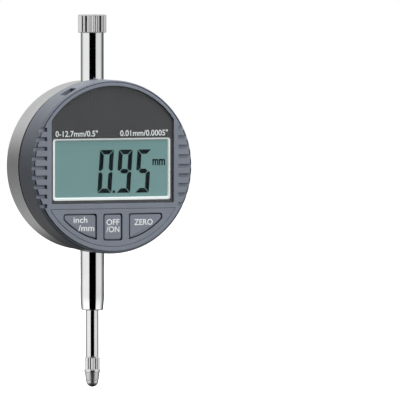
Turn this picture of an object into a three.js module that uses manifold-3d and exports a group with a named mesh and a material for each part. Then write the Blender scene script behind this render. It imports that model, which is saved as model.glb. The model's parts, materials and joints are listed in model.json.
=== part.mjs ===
// Digital dial indicator, 12.7 mm travel, 58 mm face, 8 mm stem, with a lug back.
//
// Millimetres. X runs to the right of the face, Y from the face to the lug and Z up the spindle.
// The origin is on the spindle's axis, half way down the straight part of the stem, where a stand clamps it.
// Inside the group below, heights are taken from the centre of the round case.
// A place on the face is given by its radius and by its angle in degrees, clockwise from the top.
import * as THREE from "three";
import { mergeVertices } from "three/addons/utils/BufferGeometryUtils.js";
import Module from "manifold-3d";

const wasm = await Module();
wasm.setup();

// ---------------------------------------------------------------- driving dimensions
// Sides of a round, by its size
const WIDE_SIDES = 48;
const ROUND_SIDES = 24;
const SMALL_SIDES = 8;

// Clearances
const SLIDING = 0.06; // between the spindle and its bushings, on the radius
const TURNING = 0.2; // between pieces that turn in each other, on the radius
const PRESSED = 0.03; // between pieces that are pressed, glued or screwed together
const STACKED = 0.05; // between faces that lie on each other
const LOOSE = 0.15; // round keys, trays and boards in their openings

// Head: the moulded front shell, whose radius sets the size of the round case
const SHELL_RADIUS = 29;
const SHELL_WALL = 1.8;
const SHELL_CHAMFER_DEPTH = 1.4;
const SHELL_CHAMFER_STEP = 0.7;
const GRIP_NOTCHES = 9; // on each side
const GRIP_PITCH = 3.19;
const GRIP_NOTCH = 1.35;
const GRIP_DEPTH = 1.2;
const GRIP_GAP = 1.8; // from the window's side to the notches
const POST_INSET = 1.6; // from the shell's inner wall to a post's axis
const POST_RADIUS = 2.0;
const POST_LENGTH = 3.2;
const POST_ANGLES = [0, 90, 180, 270];

// Case: the turned metal ring at the back, which holds the spindle
const CASE_STEP = 0.65; // smaller than the shell, on the radius
const CASE_WALL = 2.0;
const CASE_REAR_SPACE = 1.0; // between the stem and the back plate
const CASE_CHAMFER = 0.4;
const WEB = 1.4; // the case's front wall
const CABLE_HOLE_RADIUS = 6;

// Stem, sleeve and cap
const STEM_RADIUS = 4.0;
const STEM_REACH = 20.1; // below the case
const STEM_TIP = 3.7; // the tapered end
const STEM_TIP_RADIUS = 3.7;
const SLEEVE_REACH = 16.1; // above the case, to the cap
const NECK_WALL = 0.45; // at the sleeve's threaded end
const NECK_STEP = 0.45;
const NECK_LENGTH = 3.75;
const CAP_WALL = 0.9; // outside the sleeve's own radius
const CAP_HEIGHT = 6.0;
const CAP_TOP = 1.6; // the cap's end wall
const CAP_FLUTES = 26;
const TUBE_SEAT = 5.3; // how far the stem and the sleeve reach into the case

// Spindle
const SPINDLE_RADIUS = 2.15;
const TRAVEL = 12.7;
const SPINDLE_SHOWING = 2.95; // rod left below the stem, spindle up
const TOP_SPACE = 0.6; // between the stud and the cap's end wall, spindle up
const BUSHING_WALL = 0.8;
const BUSHING_LENGTH = 10;
const STUD_RADIUS = 1.2;
const STUD_LENGTH = 2.2;
const CONTACT_STEP = 0.45; // wider than the spindle, on the radius
const CONTACT_KNURL = 4.5;
const CONTACT_COLLAR = 0.45;
const CONTACT_CONE = 3.0;
const NOSE_RADIUS = 2.1;
const CONTACT_FLUTES = 14;

// Carrier on the spindle, with its guide pin, scale and spring
const CARRIER_HEIGHT = 8;
const CARRIER_SIDE_WALL = 2.25; // outside the spindle
const CARRIER_FRONT_WALL = 0.25;
const CARRIER_REAR_WALL = 1.05;
const BUMPER = 1.5;
const SCALE_WIDTH = 6;
const SCALE_LENGTH = 22;
const SCALE_THICKNESS = 0.5;
const SCALE_GAP = 0.35; // from the scale to the sensor board
const PIN_RADIUS = 0.8;
const RAIL_THICKNESS = 3.8;
const RAIL_BACK_WALL = 0.8;
const RAIL_END = 2.2; // solid rail past each end of the pin's slot
const SPRING_GAP = 0.5; // between the spindle and the spring
const SPRING_WIRE = 0.25; // wire radius
const SPRING_TURNS = 10;

// Sensor board on the web
const SENSOR_BOARD = 0.8;
const SENSOR_WIDTH = 11.2;
const SENSOR_DROP = 10; // below the case's centre
const SENSOR_RISE = 12;

// Back plate and lug
const PLATE_RIM = 1.35; // case left round the plate
const PLATE = 1.8;
const PLATE_SCREW_INSET = 4;
const PLATE_SCREW_HEAD = 1.85;
const PLATE_BOSS_RADIUS = 2.4;
const LUG_BASE_RADIUS = 9.4;
const LUG_BASE_STEP = 1.1; // proud of the plate
const LUG_LENGTH = 14;
const LUG_HALF_WIDTH = 8;
const LUG_ARC_RADIUS = 9;
const LUG_HALF_THICKNESS = 3;
const LUG_HOLE_RADIUS = 3.25;
const LUG_HOLE_HEIGHT = 7.5; // above the lug's base

// Turning joint between the case and the head
const SEAM = 0.45;
const HUB_RADIUS = 18;
const HUB_WALL = 2.0;
const BASE = 1.4; // head base thickness
const END_PLAY = 0.15;
const RETAINER_RADIUS = 20.2;
const RETAINER = 0.8;
const RETAINER_STEP = 1.1; // the hub's step down to the retainer's bore
const FRICTION_GROOVE = 0.75;
const FRICTION_RING = 0.42; // section radius
const STOP_IN = 21;
const STOP_OUT = 23;
const STOP_HEIGHT = 1.05;
const STOP_CHANNEL = 0.8;
const STOP_MARGIN = 0.3; // round the stop rib in its channel
const HEAD_TURN = 270; // degrees
const HEAD_TURN_BACK = 90; // degrees of it that are anticlockwise
const TAB_SPAN = 10; // degrees
const STOP_RELIEF = 0.5; // degrees left at each end of the turn

// Display window
const WINDOW_RIM = 2.0; // shell left round its arched top
const WINDOW_SIDE = 1.65; // window past the view at the sides
const WINDOW_FOOT = 2.0; // and below it
const LENS = 0.8;
const LENS_SINK = 0.05;
const MASK = 0.15;
const LEDGE = 1.3;
const LEDGE_WIDTH = 0.4;
const ARC_LEDGE_WIDTH = 0.8;

// Display
const VIEW_HALF_WIDTH = 20.35;
const VIEW_RISE = 8.85;
const VIEW_DROP = 10.05;
const FRAME_BORDER = 1.1; // the holder's white border round the view
const HOLDER_LIP = 0.45;
const LCD_MARGIN = 0.55; // LCD past the view, each side
const LCD = 2.0;
const LCD_RIM = 0.75; // how much of the border the mask leaves in sight
const HOLDER_FLANGE = 0.75; // the holder past its border, behind the ledge
const STRIP_HEIGHT = 1.9; // the rubber connector strips, LCD to board
const STRIP_WIDTH = 1.8;

// Main board
const BOARD = 1.0;
const BOARD_SCREW_ANGLES = [73, 127, 233, 287];
const BOARD_SCREW_INSET = 1.8; // from the shell's inner wall
const BOARD_BOSS_RADIUS = 1.4;
const CHIP_RADIUS = 4;
const CHIP_HEIGHT = 1.1;
const CHIP_PLACE = [-17.3, -2];

// Keys
const KEY_GAP = 3.45; // from the window to the keys' top edge
const KEY_RIM = 4; // shell left round the keys' arc
const MIDDLE_KEY_HALF_WIDTH = 3.45;
const KEY_BRIDGE = 2.35; // shell between two keys
const OUTER_KEY_END = 17.9;
const KEY_CORNER = 1.5;
const MIDDLE_KEY_STEP = 0.4; // its lower edge, inside the arc
const KEY_SINK = 0.15;
const KEY_FLANGE = 0.6;
const KEY_FLANGE_STEP = 0.45;
const KEY_TRAVEL = 0.35;
const KEY_PLUNGER_RADIUS = 1.5;
const DOME_RADIUS = 2.2;
const DOME_HEIGHT = 0.45;
const OUTER_DOME_PLACE = [11, -18.6];
const MIDDLE_DOME_PLACE = [0, -19.8];

// Battery tray
const TRAY_ANGLE = 28;
const CELL_RADIUS = 5.8;
const CELL_HEIGHT = 5.4;
const CELL_INSET = 2.7; // from the outside of the shell to the cell
const TRAY_WALL = 0.7;
const TRAY_FLOOR = 0.6;
const TRAY_FRONT_GAP = 0.77; // behind the mask
const TRAY_REAR_GAP = 1.6; // ahead of the turning joint
const NAIL_SLOT = [6, 1.8, 1.4]; // long, high, deep
const LEAF = 0.3;
const LEAF_WIDTH = 1.6;

// Data port
const PORT_ANGLE = -29.5;
const PORT_WIDTH = 4.6; // round the shell
const PORT_LENGTH = 5.0; // front to back
const PORT_MIDDLE = 4.7; // behind the shell's front
const PORT_BLOCK_WALL = 0.9;
const PORT_BLOCK_DEPTH = 4.6;
const PORT_POCKET = 2.6;

// Ribbon between the boards, wound like a clock spring round the turning axis
const RIBBON = 0.25;
const RIBBON_WIDTH = 2.5;
const RIBBON_INNER = 5;
const RIBBON_OUTER = 11.5;
const RIBBON_TURNS = 1.6;

// Screws, all of one small size but the plate's
const SCREW_RADIUS = 0.7;
const SCREW_HEAD_RADIUS = 1.4;
const SCREW_HEAD = 0.6;

// ---------------------------------------------------------------- derived places
// Radii
const caseRadius = SHELL_RADIUS - CASE_STEP;
const caseInside = caseRadius - CASE_WALL;
const plateRadius = caseRadius - PLATE_RIM;
const shellInside = SHELL_RADIUS - SHELL_WALL;
const tubeBore = SPINDLE_RADIUS + BUSHING_WALL; // in the stem and the sleeve
const neckRadius = tubeBore + NECK_WALL;
const sleeveRadius = neckRadius + NECK_STEP;
const capRadius = sleeveRadius + CAP_WALL;
const contactRadius = SPINDLE_RADIUS + CONTACT_STEP;
const windowArc = SHELL_RADIUS - WINDOW_RIM;
const keyArc = SHELL_RADIUS - KEY_RIM;
const trayHalf = CELL_RADIUS + 2 * STACKED + TRAY_WALL;
const cellCircle = SHELL_RADIUS - CELL_INSET - CELL_RADIUS;
// Places on the face
const windowHalfWidth = VIEW_HALF_WIDTH + WINDOW_SIDE;
const windowDrop = VIEW_DROP + WINDOW_FOOT;
const keyTop = windowDrop + KEY_GAP;
const boardRise = VIEW_RISE + FRAME_BORDER + HOLDER_FLANGE + 2 * LOOSE;
// Y of the faces, from the spindle's axis forward
const carrierFront = SPINDLE_RADIUS + CARRIER_FRONT_WALL;
const wingFront = -carrierFront + STACKED;
const scaleFront = wingFront - STACKED - SCALE_THICKNESS;
const webBack = Math.min(-STEM_RADIUS - 2 * STACKED, scaleFront - SCALE_GAP - SENSOR_BOARD - STACKED);
const sensorBoardBack = webBack + STACKED + SENSOR_BOARD;
const caseFront = webBack - WEB;
const shellBack = caseFront - SEAM;
const baseFront = shellBack - BASE;
const hubStep = baseFront - END_PLAY;
const hubFront = hubStep - RETAINER;
const trayBack = hubFront - TRAY_REAR_GAP;
const trayFront = trayBack - 2 * STACKED - CELL_HEIGHT - TRAY_FLOOR;
const shellFront = trayFront - TRAY_FRONT_GAP - MASK - PRESSED - LENS - LENS_SINK;
// and backward to the lug
const plateFront = STEM_RADIUS + CASE_REAR_SPACE;
const caseBack = plateFront + PLATE;
const lugBaseBack = caseBack + LUG_BASE_STEP;
// Y of the faces, from the shell's front backward
const lensFront = shellFront + LENS_SINK;
const lensBack = lensFront + LENS;
const maskFront = lensBack + PRESSED;
const maskBack = maskFront + MASK;
const ledgeFront = maskBack + PRESSED;
const ledgeBack = ledgeFront + LEDGE;
const holderFront = maskBack + STACKED;
const lcdFront = holderFront + HOLDER_LIP + PRESSED;
const lcdBack = lcdFront + LCD;
const boardFront = lcdBack + STRIP_HEIGHT + 2 * PRESSED;
const boardBack = boardFront + BOARD;
// Z of the faces along the spindle, from the case's centre
const stemBottom = -(caseRadius + STEM_REACH);
const stemTop = -(caseInside - TUBE_SEAT);
const sleeveBottom = caseInside - TUBE_SEAT;
const sleeveTop = caseRadius + SLEEVE_REACH;
const neckTop = sleeveTop + NECK_LENGTH;
const capBottom = sleeveTop + STACKED;
const capTop = sleeveTop + CAP_HEIGHT;
const rodBottom = stemBottom - TRAVEL - SPINDLE_SHOWING;
const studTop = capTop - CAP_TOP - TRAVEL - TOP_SPACE;
const rodTop = studTop - STUD_LENGTH;
const bumperTop = stemTop + STACKED + BUMPER;
const carrierBottom = bumperTop + STACKED;
const carrierTop = carrierBottom + CARRIER_HEIGHT;
const carrierMiddle = (carrierBottom + carrierTop) / 2;
const stemClamp = -(caseRadius + (STEM_REACH - STEM_TIP) / 2);

// ---------------------------------------------------------------- materials
const finish = (color, roughness, metalness, more = {}) =>
  new THREE.MeshStandardMaterial({ color, roughness, metalness, ...more });
const caseMetal = finish(0xa9abac, 0.42, 0.9);
const plateMetal = finish(0x959ba3, 0.5, 0.6);
const chrome = finish(0xdadcdc, 0.12, 1.0);
const brass = finish(0xb8954c, 0.35, 0.9);
const steel = finish(0x8f9294, 0.35, 0.9);
const shellPlastic = finish(0x6f7885, 0.55, 0.0);
const keyPlastic = finish(0x757d8a, 0.6, 0.0);
const darkPlastic = finish(0x232427, 0.6, 0.0);
const whitePlastic = finish(0xe9ecea, 0.45, 0.0);
const maskPrint = finish(0x47474a, 0.4, 0.0);
const lensPlastic = finish(0xf4f8f8, 0.05, 0.0, { transparent: true, opacity: 0.2 });
const lcdGlass = finish(0x6f948f, 0.25, 0.0);
const rubber = finish(0x1d1d1f, 0.85, 0.0);
const circuitBoard = finish(0x1f5a3c, 0.5, 0.0);
const epoxy = finish(0x101113, 0.3, 0.0);
const ribbonFilm = finish(0xb87333, 0.4, 0.2);

// ---------------------------------------------------------------- shapes and solids
// One closed solid from a three.js geometry.
function solidFrom(geometry) {
  const bare = geometry.index ? geometry.toNonIndexed() : geometry.clone();
  for (const name of Object.keys(bare.attributes)) {
    if (name !== "position") bare.deleteAttribute(name);
  }
  const merged = mergeVertices(bare, 1e-4);
  return new wasm.Manifold(
    new wasm.Mesh({
      numProp: 3,
      vertProperties: new Float32Array(merged.attributes.position.array),
      triVerts: new Uint32Array(merged.index.array),
    }),
  );
}
const asSolid = (part) => (part.isBufferGeometry ? solidFrom(part) : part);
const join = (first, ...rest) => rest.reduce((sum, part) => sum.add(asSolid(part)), asSolid(first));
const cut = (first, ...tools) => tools.reduce((left, tool) => left.subtract(asSolid(tool)), asSolid(first));
const common = (first, second) => asSolid(first).intersect(asSolid(second));

function geometryFrom(solid) {
  const mesh = solid.getMesh();
  const geometry = new THREE.BufferGeometry();
  geometry.setAttribute("position", new THREE.BufferAttribute(mesh.vertProperties, mesh.numProp));
  geometry.setIndex(new THREE.BufferAttribute(mesh.triVerts, 1));
  geometry.computeVertexNormals();
  return geometry;
}

// A closed profile of [radius, height] points, turned about Y.
function turnedY(profile, sides = WIDE_SIDES) {
  const points = profile.map(([radius, height]) => new THREE.Vector2(radius, height));
  if (THREE.ShapeUtils.area(points) < 0) points.reverse();
  if (profile.every(([radius]) => radius > 0)) points.push(points[0].clone());
  else while (points[0].x > 0 || points.at(-1).x > 0) points.push(points.shift());
  return new THREE.LatheGeometry(points, sides);
}
const turnedZ = (profile, sides = ROUND_SIDES) => turnedY(profile, sides).rotateX(Math.PI / 2);

const rectangle = (inner, outer, low, high) => [
  [inner, low],
  [outer, low],
  [outer, high],
  [inner, high],
];
const rodY = (radius, front, back, sides = WIDE_SIDES) => turnedY(rectangle(0, radius, front, back), sides);
const rodZ = (radius, low, high, sides = ROUND_SIDES) => turnedZ(rectangle(0, radius, low, high), sides);
const ringY = (inner, outer, front, back, sides = WIDE_SIDES) =>
  turnedY(rectangle(inner, outer, front, back), sides);
const ringZ = (inner, outer, low, high, sides = ROUND_SIDES) =>
  turnedZ(rectangle(inner, outer, low, high), sides);

function block(left, right, front, back, low, high) {
  const geometry = new THREE.BoxGeometry(right - left, back - front, high - low);
  return geometry.translate((left + right) / 2, (front + back) / 2, (low + high) / 2);
}

// An outline drawn on the face, X to the right and Z up, made solid from front to back.
function slabY(outline, front, back, curveSegments = 12) {
  const settings = { depth: back - front, bevelEnabled: false, curveSegments };
  return new THREE.ExtrudeGeometry(outline, settings).rotateX(Math.PI / 2).translate(0, back, 0);
}

// An outline drawn from the side, Y along and Z up, made solid from left to right.
function slabX(outline, left, right, curveSegments = 12) {
  const settings = { depth: right - left, bevelEnabled: false, curveSegments };
  const turn = new THREE.Matrix4().makeBasis(
    new THREE.Vector3(0, 1, 0),
    new THREE.Vector3(0, 0, 1),
    new THREE.Vector3(1, 0, 0),
  );
  return new THREE.ExtrudeGeometry(outline, settings).applyMatrix4(turn).translate(left, 0, 0);
}

const degrees = (angle) => THREE.MathUtils.degToRad(angle);
// [x, z] on the face at a radius and a clock angle
const onFace = (radius, angle) => [radius * Math.sin(degrees(angle)), radius * Math.cos(degrees(angle))];
// Turns a geometry made at the top of the face to a clock angle.
const swung = (geometry, angle) => geometry.rotateY(degrees(angle));

// A band of an annulus, centred on a clock angle.
function bandOutline(inner, outer, angle, span) {
  const start = degrees(90 - angle - span / 2);
  const end = degrees(90 - angle + span / 2);
  const outline = new THREE.Shape();
  outline.absarc(0, 0, outer, start, end, false);
  outline.absarc(0, 0, inner, end, start, true);
  return outline;
}

// A round outline with straight V flutes.
function flutedOutline(radius, depth, flutes) {
  const outline = new THREE.Shape();
  for (let i = 0; i < 2 * flutes; i += 1) {
    const reach = i % 2 ? radius - depth : radius;
    const angle = (Math.PI * i) / flutes;
    const point = [reach * Math.cos(angle), reach * Math.sin(angle)];
    if (i) outline.lineTo(...point);
    else outline.moveTo(...point);
  }
  return outline;
}
function flutedZ(radius, depth, flutes, low, high) {
  const settings = { depth: high - low, bevelEnabled: false };
  return new THREE.ExtrudeGeometry(flutedOutline(radius, depth, flutes), settings).translate(0, 0, low);
}

// The display window's outline: an arched top on straight sides, taken in by an inset.
function windowOutline(sideInset, arcInset) {
  const arc = windowArc - arcInset;
  const half = windowHalfWidth - sideInset;
  const corner = Math.acos(half / arc);
  const outline = new THREE.Shape();
  outline.moveTo(-half, -windowDrop + sideInset);
  outline.lineTo(half, -windowDrop + sideInset);
  outline.absarc(0, 0, arc, corner, Math.PI - corner, false);
  return outline;
}

// A key's outline, grown or shrunk. Side is -1 for the left key, 0 for the middle and 1 for the right one.
function keyOutline(side, grow) {
  const outline = new THREE.Shape();
  const top = -keyTop + grow;
  if (!side) {
    const half = MIDDLE_KEY_HALF_WIDTH + grow;
    const low = MIDDLE_KEY_STEP - keyArc - grow;
    outline.moveTo(-half, low);
    outline.lineTo(half, low);
    outline.lineTo(half, top);
    outline.lineTo(-half, top);
    return outline;
  }
  const near = MIDDLE_KEY_HALF_WIDTH + KEY_BRIDGE - grow;
  const end = OUTER_KEY_END + grow;
  const arc = keyArc + grow;
  const low = Math.asin(Math.min(1, end / arc));
  const high = Math.asin(near / arc);
  outline.moveTo(side * near, top);
  outline.lineTo(side * near, -arc * Math.cos(high));
  if (side > 0) outline.absarc(0, 0, arc, high - Math.PI / 2, low - Math.PI / 2, false);
  else outline.absarc(0, 0, arc, -Math.PI / 2 - high, -Math.PI / 2 - low, true);
  outline.lineTo(side * end, top - KEY_CORNER);
  outline.quadraticCurveTo(side * end, top, side * (end - KEY_CORNER), top);
  return outline;
}

// A screw along Y: its head from headFront, with the shank on the side that `towards` points to.
function screwY([x, z], headBack, length, headRadius, headHeight, shankRadius) {
  const direction = Math.sign(length);
  const headEnd = headBack + direction * headHeight;
  const tip = headEnd + length;
  const head = [headRadius, Math.min(headBack, headEnd), Math.max(headBack, headEnd), SMALL_SIDES];
  const shank = [shankRadius, Math.min(headBack, tip), Math.max(headBack, tip), SMALL_SIDES];
  const slot = block(-headRadius, headRadius, headBack - 0.3, headBack + 0.3, -0.2, 0.2);
  return geometryFrom(cut(join(rodY(...head), rodY(...shank)), slot)).translate(x, 0, z);
}

// ---------------------------------------------------------------- the group
const indicator = new THREE.Group();
const head = new THREE.Group();
head.position.z = -stemClamp;
indicator.add(head);

function add(name, part, material) {
  const geometry = part.isBufferGeometry ? part : geometryFrom(part);
  const mesh = new THREE.Mesh(geometry, material);
  mesh.name = name;
  head.add(mesh);
}

// ---------------------------------------------------------------- case, stem and sleeve
const plateScrewPlaces = [45, 135, 225, 315].map((angle) => onFace(plateRadius - PLATE_SCREW_INSET, angle));
const carrierHalf = SPINDLE_RADIUS + CARRIER_SIDE_WALL;
const carrierRear = SPINDLE_RADIUS + CARRIER_REAR_WALL;
const sensorLeft = carrierHalf - 1;
const sensorScrewPlaces = [-SENSOR_DROP + 2, SENSOR_RISE - 2].map((z) => [sensorLeft + SENSOR_WIDTH - 1.8, z]);
const grooveMiddle = (shellBack + baseFront) / 2;
const grooveHalf = FRICTION_RING + 0.08;
const stopAngle = HEAD_TURN - HEAD_TURN_BACK + (360 - HEAD_TURN) / 2;
const railRight = -(carrierHalf + 3);
const railLeft = railRight - RAIL_THICKNESS;
const pinY = 0.3;
const railSlotLow = carrierMiddle - PIN_RADIUS - 0.4;
const railSlotHigh = carrierMiddle + TRAVEL + PIN_RADIUS + 0.4;
const pegPlaces = [railSlotLow, railSlotHigh].map((z) => [(railLeft + railRight) / 2, z]);

function caseRing() {
  const hubInside = HUB_RADIUS - HUB_WALL;
  const neck = HUB_RADIUS - RETAINER_STEP;
  const turned = turnedY([
    [CABLE_HOLE_RADIUS, caseFront],
    [hubInside, caseFront],
    [hubInside, hubFront],
    [neck, hubFront],
    [neck, hubStep],
    [HUB_RADIUS, hubStep],
    [HUB_RADIUS, grooveMiddle - grooveHalf],
    [HUB_RADIUS - FRICTION_GROOVE, grooveMiddle - grooveHalf],
    [HUB_RADIUS - FRICTION_GROOVE, grooveMiddle + grooveHalf],
    [HUB_RADIUS, grooveMiddle + grooveHalf],
    [HUB_RADIUS, caseFront],
    [caseRadius - CASE_CHAMFER, caseFront],
    [caseRadius, caseFront + CASE_CHAMFER],
    [caseRadius, caseBack - CASE_CHAMFER],
    [caseRadius - CASE_CHAMFER, caseBack],
    [plateRadius + STACKED, caseBack],
    [plateRadius + STACKED, plateFront - STACKED],
    [caseInside, plateFront - STACKED],
    [caseInside, webBack],
    [CABLE_HOLE_RADIUS, webBack],
  ]);
  const bossDepth = TUBE_SEAT - 0.6;
  const bossBack = plateFront - STACKED - 0.1;
  const boss = (low, high) => block(-STEM_RADIUS - 2.5, STEM_RADIUS + 2.5, webBack - 0.2, bossBack, low, high);
  const bosses = common(
    join(boss(-caseRadius, -caseInside + bossDepth), boss(caseInside - bossDepth, caseRadius)),
    rodY(caseRadius - CASE_CHAMFER, caseFront, caseBack),
  );
  const stop = slabY(
    bandOutline(STOP_IN, STOP_OUT, stopAngle, 360 - HEAD_TURN - TAB_SPAN - 2 * STOP_RELIEF),
    caseFront - STOP_HEIGHT,
    caseFront + 0.2,
    20,
  );
  const screwBosses = plateScrewPlaces.map(([x, z]) =>
    rodY(PLATE_BOSS_RADIUS, webBack - 0.2, plateFront - STACKED, SMALL_SIDES).translate(x, 0, z),
  );
  const hole = ([x, z], radius, front, back) => rodY(radius, front, back, SMALL_SIDES).translate(x, 0, z);
  return cut(
    join(turned, bosses, stop, ...screwBosses),
    rodZ(STEM_RADIUS + PRESSED, -caseRadius - 1, -sleeveBottom + 2),
    rodZ(sleeveRadius + PRESSED, sleeveBottom - 2, caseRadius + 1),
    ...plateScrewPlaces.map((place) => hole(place, SCREW_RADIUS + 0.1 + PRESSED, 0, caseBack)),
    ...sensorScrewPlaces.map((place) => hole(place, SCREW_RADIUS + PRESSED, caseFront - 1, 0)),
    ...pegPlaces.map((place) => hole(place, SCREW_RADIUS + PRESSED, caseFront - 1, 0)),
  );
}

const stem = () =>
  turnedZ([
    [tubeBore, stemBottom],
    [STEM_TIP_RADIUS - 0.25, stemBottom],
    [STEM_TIP_RADIUS, stemBottom + 0.25],
    [STEM_RADIUS, stemBottom + STEM_TIP],
    [STEM_RADIUS, stemTop],
    [tubeBore, stemTop],
  ]);

const topSleeve = () =>
  turnedZ([
    [tubeBore, sleeveBottom],
    [sleeveRadius, sleeveBottom],
    [sleeveRadius, sleeveTop],
    [neckRadius, sleeveTop],
    [neckRadius, neckTop - 0.3],
    [neckRadius - 0.2, neckTop],
    [tubeBore, neckTop],
  ]);

const bushing = (low) =>
  ringZ(SPINDLE_RADIUS + SLIDING, tubeBore - PRESSED, low, low + BUSHING_LENGTH);

function topCap() {
  const bore = neckRadius + TURNING / 2;
  const envelope = turnedZ([
    [0, capBottom],
    [capRadius - 0.3, capBottom],
    [capRadius, capBottom + 0.3],
    [capRadius, capTop - 0.4],
    [capRadius - 0.4, capTop],
    [0, capTop],
  ]);
  const fluted = flutedZ(capRadius, 0.3, CAP_FLUTES, capBottom, capTop);
  return cut(common(envelope, fluted), rodZ(bore, capBottom - 1, capTop - CAP_TOP));
}

add("case_ring", caseRing(), caseMetal);
add("stem", stem(), chrome);
add("lower_bushing", bushing(stemBottom + 0.4), brass);
add("top_sleeve", topSleeve(), chrome);
add("upper_bushing", bushing(sleeveBottom), brass);
add("top_cap", topCap(), chrome);

// ---------------------------------------------------------------- spindle and what rides on it
const coneTop = rodBottom - CONTACT_KNURL - CONTACT_COLLAR;
const coneBottom = coneTop - CONTACT_CONE;

function contactHolder() {
  const knurl = flutedZ(contactRadius, 0.22, CONTACT_FLUTES, coneTop + CONTACT_COLLAR, rodBottom - STACKED);
  const collarAndCone = turnedZ([
    [0, coneBottom],
    [NOSE_RADIUS + 0.05, coneBottom],
    [contactRadius - 0.1, coneTop],
    [contactRadius + 0.15, coneTop + 0.1],
    [contactRadius + 0.15, coneTop + CONTACT_COLLAR],
    [0, coneTop + CONTACT_COLLAR],
  ]);
  return cut(join(knurl, collarAndCone), rodZ(1.0 + PRESSED, coneBottom - 1, coneBottom + 1.6));
}

function contactTip() {
  const nose = [];
  for (let i = 0; i <= 4; i += 1) {
    const angle = (Math.PI / 2) * (i / 4);
    nose.push([NOSE_RADIUS * Math.sin(angle), coneBottom - STACKED - NOSE_RADIUS * Math.cos(angle)]);
  }
  return turnedZ([...nose, [1.0, coneBottom - STACKED], [1.0, coneBottom + 1.5], [0, coneBottom + 1.5]]);
}

const spindleRod = () =>
  turnedZ([
    [0, rodBottom],
    [SPINDLE_RADIUS, rodBottom],
    [SPINDLE_RADIUS, rodTop - 0.3],
    [SPINDLE_RADIUS - 0.3, rodTop],
    [STUD_RADIUS, rodTop],
    [STUD_RADIUS, studTop],
    [0, studTop],
  ]);

const scaleLeft = carrierHalf - 0.4;

function carrier() {
  const body = block(
    -carrierHalf, carrierHalf, -carrierFront, carrierRear, carrierBottom, carrierTop,
  );
  const wing = block(0, scaleLeft + SCALE_WIDTH - 0.2, wingFront, wingFront + 1.5, carrierBottom, carrierTop);
  const pinHole = rodZ(PIN_RADIUS + PRESSED, 0, 6, SMALL_SIDES).rotateY(-Math.PI / 2);
  return cut(
    join(body, wing),
    rodZ(SPINDLE_RADIUS + PRESSED, carrierBottom - 1, carrierTop + 1),
    pinHole.translate(0, pinY, carrierMiddle),
    rodY(SCREW_RADIUS + PRESSED, 0, carrierRear + 1, SMALL_SIDES).translate(0, 0, carrierMiddle),
  );
}

const guidePin = () =>
  rodZ(PIN_RADIUS, SPINDLE_RADIUS + 0.4, -railLeft - RAIL_BACK_WALL - 0.4, SMALL_SIDES)
    .rotateY(-Math.PI / 2)
    .translate(0, pinY, carrierMiddle);

function guideRail() {
  const body = block(
    railLeft, railRight, webBack + STACKED, carrierFront, railSlotLow - RAIL_END, railSlotHigh + RAIL_END,
  );
  const reach = PIN_RADIUS + SLIDING;
  const slot = block(
    railLeft + RAIL_BACK_WALL, railRight + 1, pinY - reach, pinY + reach, railSlotLow, railSlotHigh,
  );
  const pegs = pegPlaces.map(([x, z]) => rodY(SCREW_RADIUS, caseFront + 0.2, webBack + 0.5, SMALL_SIDES).translate(x, 0, z));
  return cut(join(body, ...pegs), slot);
}

// The spring's wire follows a helix round the spindle, from the carrier up to the sleeve.
class SpringLine extends THREE.Curve {
  getPoint(t, target = new THREE.Vector3()) {
    const low = carrierTop + SPRING_WIRE + STACKED;
    const high = sleeveBottom - SPRING_WIRE - STACKED;
    const angle = 2 * Math.PI * SPRING_TURNS * t;
    const radius = SPINDLE_RADIUS + SPRING_GAP + SPRING_WIRE;
    return target.set(radius * Math.cos(angle), radius * Math.sin(angle), low + (high - low) * t);
  }
}
function returnSpring() {
  const section = new THREE.Shape();
  section.absarc(0, 0, SPRING_WIRE, 0, 2 * Math.PI, false);
  const settings = { steps: 8 * SPRING_TURNS, extrudePath: new SpringLine(), curveSegments: 3 };
  return new THREE.ExtrudeGeometry(section, settings);
}

add("spindle_rod", spindleRod(), chrome);
add("contact_holder", contactHolder(), chrome);
add("contact_tip", contactTip(), steel);
add("carrier", carrier(), darkPlastic);
add("carrier_screw", screwY([0, carrierMiddle], carrierRear + STACKED + SCREW_HEAD, -0.8, SCREW_HEAD_RADIUS, SCREW_HEAD, SCREW_RADIUS), steel);
add(
  "scale_strip",
  block(
    scaleLeft, scaleLeft + SCALE_WIDTH, scaleFront, wingFront - STACKED,
    carrierBottom, carrierBottom + SCALE_LENGTH,
  ),
  circuitBoard,
);
add("guide_pin", guidePin(), steel);
add("guide_rail", guideRail(), darkPlastic);
add("return_spring", returnSpring(), steel);
add("stop_washer", ringZ(SPINDLE_RADIUS + 0.15, STEM_RADIUS - 0.2, stemTop + STACKED, bumperTop), rubber);

// ---------------------------------------------------------------- sensor board
function sensorBoard() {
  const board = block(
    sensorLeft, sensorLeft + SENSOR_WIDTH, webBack + STACKED, sensorBoardBack, -SENSOR_DROP, SENSOR_RISE,
  );
  return cut(
    board,
    ...sensorScrewPlaces.map(([x, z]) => rodY(SCREW_RADIUS + PRESSED, webBack - 1, 0, SMALL_SIDES).translate(x, 0, z)),
  );
}
add("sensor_board", sensorBoard(), circuitBoard);
sensorScrewPlaces.forEach((place, i) => {
  const headBack = sensorBoardBack + STACKED + SCREW_HEAD;
  const length = headBack - SCREW_HEAD - caseFront - 0.2;
  const screw = screwY(place, headBack, -length, SCREW_HEAD_RADIUS, SCREW_HEAD, SCREW_RADIUS);
  add(`sensor_screw_${i + 1}`, screw, steel);
});

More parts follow.
